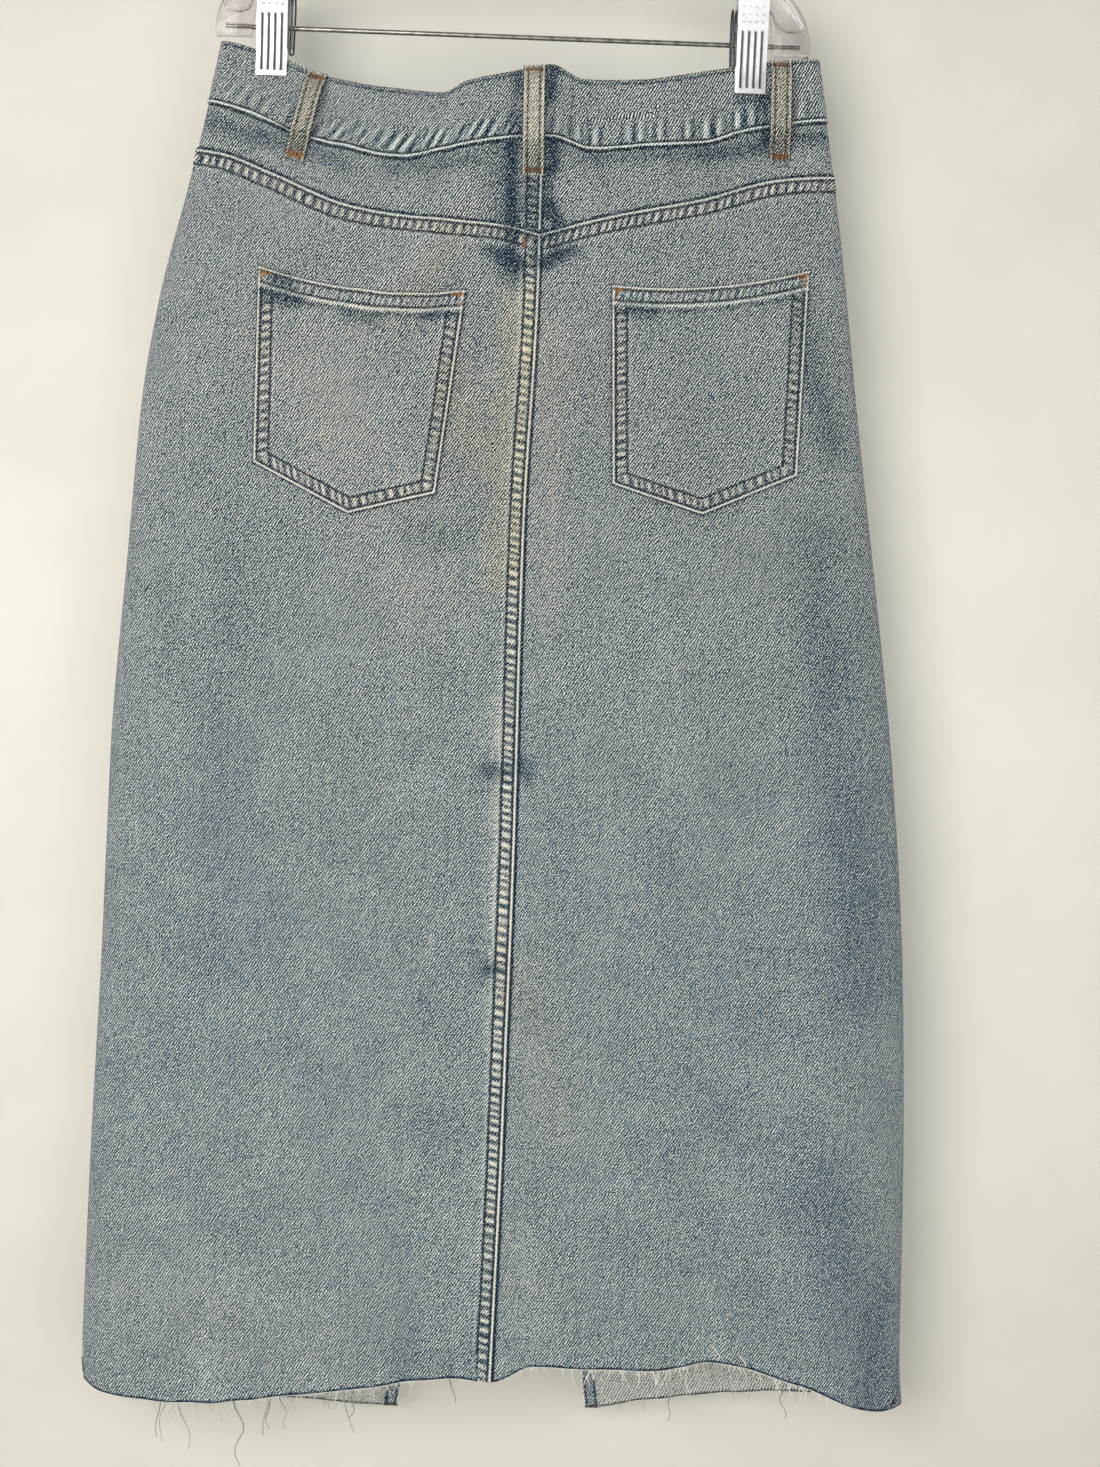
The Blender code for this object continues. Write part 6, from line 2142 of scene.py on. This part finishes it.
def cut_away(piece, cutter):
    """Cut one piece's shape out of another."""
    apply_modifier(piece, "BOOLEAN", object=cutter, operation="DIFFERENCE")
    bpy.data.objects.remove(cutter)


# %% Thick plate, web and sockets
half = HANGER_THICKNESS / 2
whole = list(HANGER_OUTLINE) + [(-x, up) for x, up in reversed(HANGER_OUTLINE[1:-1])]
body = draw_plate(rounded(whole), half, -half)
for hand in (-1, 1):
    for facing in (-1, 1):
        web = rounded([(hand * x, up) for x, up in WEB_OUTLINE])
        cut_away(body, draw_plate(web, facing * (half + 1.0), facing * (half - WEB_SINK)))
bevel(body, 0.5, 2, sharp_from=50.0)


def bore(piece, place, reach, radius, rotation):
    """Bore a round hole with a cylinder."""
    bpy.ops.mesh.primitive_cylinder_add(vertices=32, radius=radius * MM, depth=reach * MM,
                                        location=[value * MM for value in place],
                                        rotation=rotation)
    cut_away(piece, bpy.context.object)


BAR_RADIUS = 1.5
BAR_HALF_LENGTH = 172.0
BOSS_TOP = 61.0
HOOK_WIRE = 1.75
HOOK_SOCKET = 14.0
for hand in (-1, 1):
    bore(body, (hand * 161.2, 0, -BAR_DROP), 22.4, BAR_RADIUS + LAYER_GAP, (0, math.pi / 2, 0))
bore(body, (0, 0, BOSS_TOP - BAR_DROP), 2 * HOOK_SOCKET, HOOK_WIRE + LAYER_GAP, (0, 0, 0))


def plastic_material():
    """Clear moulded polystyrene, faintly lilac grey, with soft flow marks."""
    material, tree, shader = new_material("clear_polystyrene", {
        "Roughness": 0.08, "Transmission Weight": 1.0, "IOR": 1.35})
    stretched = add_node(tree, "ShaderNodeMapping", {"Vector": own_place(tree),
                                                     "Scale": (90.0, 30.0, 9.0)})
    flow = noise(tree, stretched.outputs["Vector"], 1.0)
    stops = ((0.3, (226, 218, 224)), (0.7, (250, 249, 250)))
    tree.links.new(ramp(tree, flow, stops), shader.inputs["Base Color"])
    add_bump(tree, shader, flow, 0.0006, 0.35)
    return material


body = finish_piece(body, "hanger_body_clear", plastic_material(), sharp_from=50.0)
print("hanger body faces:", len(body.data.polygons))

# %% [markdown]
# ## The bar and the hook
# The bar is a straight rod with chamfered ends.  The hook is bent wire: a stem out of the boss,
# and two thirds of a turn to a rounded tip.

# %% Bar
bpy.ops.mesh.primitive_cylinder_add(vertices=32, radius=BAR_RADIUS * MM, depth=2 * BAR_HALF_LENGTH * MM,
                                    location=(0, 0, -BAR_DROP * MM), rotation=(0, math.pi / 2, 0))
bar = bpy.context.object
bevel(bar, 0.4, 2, sharp_from=40.0)
bar = finish_piece(bar, "bar_steel", drawn_steel)

# %% Hook
HOOK_RADIUS = 20.0
HOOK_ARC_START = -52.0
HOOK_ARC_SWEEP = 244.0


def bend_wire(name, places, radius, material, closed=False):
    """A round wire along places in millimetres, with rounded ends."""
    curve_data = bpy.data.curves.new(name, "CURVE")
    curve_data.dimensions = "3D"
    curve_data.bevel_depth = radius * MM
    curve_data.bevel_resolution = 4
    curve_data.use_fill_caps = True
    spline = curve_data.splines.new("POLY")
    spline.points.add(len(places) - 1)
    for point, place in zip(spline.points, places):
        point.co = (place[0] * MM, place[1] * MM, place[2] * MM, 1.0)
    spline.use_cyclic_u = closed
    wire = bpy.data.objects.new(name, curve_data)
    bpy.context.collection.objects.link(wire)
    select_only(wire)
    bpy.ops.object.convert(target="MESH")
    wire = bpy.context.object
    if not closed:
        bevel(wire, 0.45 * radius, 3, sharp_from=60.0)
    return finish_piece(wire, name, material, sharp_from=70.0)


def hook_places():
    """Middle line of the hook, from inside the boss to its tip."""
    reach = HOOK_RADIUS + HOOK_WIRE
    boss = BOSS_TOP - BAR_DROP
    start = math.radians(HOOK_ARC_START)
    first = (reach * math.cos(start), -HOOK_RADIUS + reach * math.sin(start))
    places = [(0, 0, boss - HOOK_SOCKET + 0.3), (0, 0, boss - 3.0)]
    for part in np.linspace(0.0, 1.0, 14)[:-1]:
        ease = part * part * (3 - 2 * part)
        places.append((first[0] * ease, 0, blend(boss + 0.5, first[1], part)))
    for turn in start + math.radians(HOOK_ARC_SWEEP) * np.linspace(0.0, 1.0, 48):
        places.append((reach * math.cos(turn), 0, -HOOK_RADIUS + reach * math.sin(turn)))
    return places


hook = bend_wire("hook_steel", hook_places(), HOOK_WIRE, steel)
print("hook faces:", len(hook.data.polygons))

# %% [markdown]
# ## Clip jaws
# Each jaw is pressed from thin plated sheet.  Four grooves stiffen its lower part, rows of small
# round dimples give the fingers a grip, and a flange down each edge wraps the bar.  The profile is
# drawn as a line, pulled across into a plate, cut where the grooves and dimples go, and given its
# thickness last.  One jaw is modelled and turned for the others.

# %% One clip jaw
CLIP_WIDTH = 17.5
Jaw = namedtuple("Jaw", "depth reach flange")
JAW_STATIONS = (
    Jaw(29.5, 3.2, 0.3), Jaw(15.0, 3.4, 0.5), Jaw(6.0, 5.0, 2.2), Jaw(0.0, 6.1, 4.1),
    Jaw(-8.0, 7.4, 3.4), Jaw(-18.0, 10.4, 1.8), Jaw(-29.0, 13.8, 0.4),
)
JAW_PLATE = 1.0
GROOVE_PLACES = (-5.85, -1.95, 1.95, 5.85)
GROOVE_HALF = 1.15
GROOVE_SINK = 0.8
GROOVE_TOP, GROOVE_FOOT = 7.6, -26.6
DIMPLE_ROWS = (11.7, 16.0, 20.3, 24.6)
DIMPLE_RADIUS = 1.15
NEAR = 0.05
jaw_reach = curve([(jaw.depth, jaw.reach + JAW_PLATE) for jaw in reversed(JAW_STATIONS)])
jaw_flange = curve([(jaw.depth, jaw.flange) for jaw in reversed(JAW_STATIONS)])

levels = [-29.5, -22.0, -15.0, -10.5, -6.0, -3.0, 0.0, 4.0, 9.2, 13.85, 18.15, 22.45, 26.8, 29.0]
jaw_piece = draw_line([(-CLIP_WIDTH / 2, float(jaw_reach(-level)), level) for level in levels])
extrude("edges", x=CLIP_WIDTH)
for place in GROOVE_PLACES:
    select_all()
    cut_plane((place, 0, 0), (1, 0, 0))
for height in (GROOVE_TOP, GROOVE_TOP - 0.9, GROOVE_FOOT, GROOVE_FOOT + 0.9) + DIMPLE_ROWS:
    select_all()
    cut_plane((0, 0, height), (0, 0, 1))
for place in GROOVE_PLACES:
    for shoulder in (-GROOVE_HALF, GROOVE_HALF):
        select_faces(jaw_piece, lambda middle, normal: GROOVE_FOOT < middle.z < GROOVE_TOP)
        cut_plane((place + shoulder, 0, 0), (1, 0, 0))
bpy.ops.mesh.select_mode(type="VERT")


def near_any(value, places):
    """Whether a value lies at one of several places."""
    return min(abs(value - place) for place in places) < NEAR


select_points(jaw_piece, lambda co: near_any(co.x, GROOVE_PLACES)
              and GROOVE_FOOT + 0.5 < co.z < GROOVE_TOP - 0.5)
move(y=-GROOVE_SINK)
bpy.ops.mesh.select_mode(type="VERT")
select_points(jaw_piece, lambda co: near_any(co.x, GROOVE_PLACES) and near_any(co.z, DIMPLE_ROWS))
bpy.ops.mesh.bevel(offset=DIMPLE_RADIUS * MM, offset_type="OFFSET", segments=2, profile=0.5,
                   affect="VERTICES")
DIMPLES = [(place, row) for place in GROOVE_PLACES for row in DIMPLE_ROWS]
select_faces(jaw_piece, lambda middle, normal: min(
    math.hypot(middle.x - place, (middle.z - row) / 0.93) for place, row in DIMPLES) < 0.9)
bpy.ops.mesh.inset(thickness=0.42 * MM, depth=0.0)
move(y=-0.6)
bpy.ops.mesh.select_mode(type="EDGE")
shape = bmesh.from_edit_mesh(jaw_piece.data)
for edge in shape.edges:
    edge.select_set(all(near_any(abs(v.co.x) / MM, [CLIP_WIDTH / 2]) for v in edge.verts))
bmesh.update_edit_mesh(jaw_piece.data)
extrude("edges", y=-0.2)
bpy.ops.mesh.select_mode(type="VERT")
shape = bmesh.from_edit_mesh(jaw_piece.data)
flange_points = sorted({round(vertex.co.z / MM, 2) for vertex in shape.verts if vertex.select})
flange_rows = [[vertex.index for vertex in shape.verts
                if vertex.select and abs(vertex.co.z / MM - level) < 0.02] for level in flange_points]
for level, row in zip(flange_points, flange_rows):
    shape = bmesh.from_edit_mesh(jaw_piece.data)
    shape.verts.ensure_lookup_table()
    for vertex in shape.verts:
        vertex.select_set(vertex.index in row)
    bmesh.update_edit_mesh(jaw_piece.data)
    move(y=-float(jaw_flange(-level)) - JAW_PLATE + 0.2)
leave_edit_mode()
print("jaw faces before its thickness:", len(jaw_piece.data.polygons))

# %% Thickness, painted shade in the grooves and the four jaws
points = np.array([vertex.co[:] for vertex in jaw_piece.data.vertices]) / MM
face_line = jaw_reach(-points[:, 2])
on_plate = np.abs(points[:, 0]) < CLIP_WIDTH / 2 - 0.3
# Painted shade: the deeper a point lies below the plate's face, the darker its steel.
sunk = np.where(on_plate, np.clip((face_line - points[:, 1] - 0.06) / 0.4, 0.0, 1.0), 0.0)
layer = jaw_piece.data.attributes.new("sunk", "FLOAT", "POINT")
layer.data.foreach_set("value", sunk.astype(np.float32))
apply_modifier(jaw_piece, "SOLIDIFY", thickness=0.7 * MM, offset=-1.0)
bevel(jaw_piece, 0.14, 1, sharp_from=75.0)
jaw_piece = finish_piece(jaw_piece, "clip_right_jaw_front_steel", steel, sharp_from=28.0)
jaw_pieces = {"clip_right_jaw_front": jaw_piece}
half_turn = Matrix.Rotation(math.pi, 4, "Z")
for place, clip_x in (("left", CLIP_LEFT_X), ("right", CLIP_RIGHT_X)):
    shift = Matrix.Translation((clip_x * MM, 0, -BAR_DROP * MM))
    jaw_pieces[f"clip_{place}_jaw_back"] = copy_piece(jaw_piece, f"clip_{place}_jaw_back_steel",
                                                      shift @ half_turn)
    if place == "left":
        jaw_pieces["clip_left_jaw_front"] = copy_piece(jaw_piece, "clip_left_jaw_front_steel", shift)
jaw_piece.data.transform(Matrix.Translation((CLIP_RIGHT_X * MM, 0, -BAR_DROP * MM)))
print("jaws:", len(jaw_pieces), "faces each:", len(jaw_piece.data.polygons))

# %% [markdown]
# ## Clip springs
# A bow of dark wire saddles the jaws on their inner side and pushes their upper ends apart.  Its
# two strands lie side by side and meet in a tight bend at each foot.

# %% Springs
SPRING_WIRE = 0.6
SPRING_STRANDS = 2.3
SPRING_TURNS = (
    (6.6, 13.0), (6.9, 8.0), (7.6, 2.0), (8.9, -5.0), (9.6, -11.0), (8.4, -16.0), (5.0, -19.6),
    (0.0, -20.6),
)


def spring_places(clip_x, hand):
    """Both strands of a bow, from foot to foot and back."""
    half = [(-reach, depth) for reach, depth in SPRING_TURNS]
    over = half + [(-reach, depth) for reach, depth in reversed(half[:-1])]
    run = curve([(k, reach) for k, (reach, _) in enumerate(over)])
    drop = curve([(k, depth) for k, (_, depth) in enumerate(over)])
    steps = np.linspace(0, len(over) - 1, 60)
    x = clip_x + hand * (CLIP_WIDTH / 2 + SPRING_WIRE + SEAM_GAP)
    there = [(x, float(run(k)), -BAR_DROP - float(drop(k))) for k in steps]
    back = [(x + hand * SPRING_STRANDS, y, z) for _, y, z in reversed(there)]
    turns = []
    for first, sign in ((there[-1], 1), (back[-1], -1)):
        middle_x = x + hand * SPRING_STRANDS / 2
        for k in range(1, 6):
            turn = math.pi * k / 6
            turns.append((middle_x - sign * hand * SPRING_STRANDS / 2 * math.cos(turn), first[1],
                          first[2] - 1.3 * math.sin(turn)))
    return there + turns[:5] + back + turns[5:]


springs = {}
for place, clip_x, hand in (("left", CLIP_LEFT_X, 1), ("right", CLIP_RIGHT_X, -1)):
    springs[f"clip_{place}_spring"] = bend_wire(f"clip_{place}_spring_wire",
                                                spring_places(clip_x, hand), SPRING_WIRE,
                                                spring_steel, closed=True)
print("springs:", len(springs))

# %% [markdown]
# ## Putting the pieces together
# Everything above made threads, yarns and hard parts.  Now each grid of cloth becomes a piece, and
# each piece is tied to the frame: it rides on the one body, and the CAD node that it stands for is
# hidden.  Stitches and zip teeth stand for no node, so they only ride.

# %% Threads and yarns
def place(piece, slot, node=None):
    """Let a piece ride on the body and hide the CAD node it stands for; slot is not used."""
    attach(piece, "root")
    if node:
        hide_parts(node)


thread_pieces = {
    "seam_stitches": seam_threads + fly_threads, "pocket_stitches": pocket_threads,
    "band_stitches": band_threads, "loop_stitches": loop_threads, "bar_tacks": tacks,
}
for name, lines in thread_pieces.items():
    thread_pieces[name] = add_threads(name, lines, topstitch)
    place(thread_pieces[name], "hem_threads")
for name, piece in fringe_pieces.items():
    place(piece, "hem_threads", name)

# %% Cloth pieces
cloth_pieces = {}
for name, grids in panel_grids.items():
    cloth = band_denim if name == "waistband" else denim
    cloth_pieces[name] = add_cloth(name + "_cloth", grids, cloth)
    place(cloth_pieces[name], "washed_denim", name)
print("cloth pieces:", len(cloth_pieces))

# %% Hard pieces
hard_pieces = (
    (teeth, "aged_brass", None), (zip_tape, "zip_tape_cloth", "zip_tape"),
    (slider, "aged_brass", "zip_slider"), (button, "aged_brass", "button"),
    (body, "clear_plastic", "hanger_body"), (bar, "bright_steel", "bar"),
    (hook, "bright_steel", "hook"),
)
for piece, slot, node in hard_pieces:
    place(piece, slot, node)
for node, piece in jaw_pieces.items():
    place(piece, "bright_steel", node)
for node, piece in springs.items():
    place(piece, "spring_wire", node)
print("hard pieces:", len(hard_pieces) + len(jaw_pieces) + len(springs))

# %% [markdown]
# ## The cut of the cloth
# Each piece of cloth is listed with the flat size of what shows of it, in millimetres, without
# the seam allowances inside.  A side is measured along the folds or, where that is longer, straight
# across the piece's box.  The waistband's height and the slanting loop's length are their area
# divided by the other side.  Panels widen towards the hem and yokes curve, so their area is less
# than width by length.  All of it hangs from the waistband, which the clips hold.

# %% Cut sizes
Cut = namedtuple("Cut", "width length area held rests_on with_pieces")
CUTS = {
    "back_left": Cut(270, 761, 0.189, "hung", ["yoke_left"], ["fringe_back_left"]),
    "back_right": Cut(252, 737, 0.161, "hung", ["yoke_right"], ["fringe_back_right"]),
    "front_left": Cut(264, 785, 0.183, "hung", ["waistband"], ["fringe_front_left"]),
    "front_right": Cut(243, 783, 0.165, "hung", ["waistband"], ["fringe_front_right"]),
    "yoke_left": Cut(209, 73, 0.0087, "hung", ["waistband"], []),
    "yoke_right": Cut(178, 75, 0.0068, "hung", ["waistband"], []),
    "waistband": Cut(786, 42.5, None, "hung", ["clip_left_jaw_front", "clip_right_jaw_front"], []),
    "pocket_left": Cut(127, 147, 0.0154, "laid", ["back_left"], []),
    "pocket_right": Cut(121, 150, 0.0153, "laid", ["back_right"], []),
    "belt_loop_back_left": Cut(15, 58, None, "folded", ["waistband", "yoke_left"], []),
    "belt_loop_back_centre": Cut(15, 72, None, "folded", ["waistband", "yoke_left"], []),
    "belt_loop_back_right": Cut(15, 66, None, "folded", ["waistband", "yoke_right"], []),
    "belt_loop_front_left": Cut(15, 56, None, "folded", ["waistband", "front_left"], []),
    "belt_loop_front_right": Cut(15, 56, None, "folded", ["waistband", "front_right"], []),
}
for name, cut in CUTS.items():
    fringes = [fringe_pieces[fringe] for fringe in cut.with_pieces]
    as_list(cut.rests_on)
print("cut pieces:", len(CUTS) + 1)
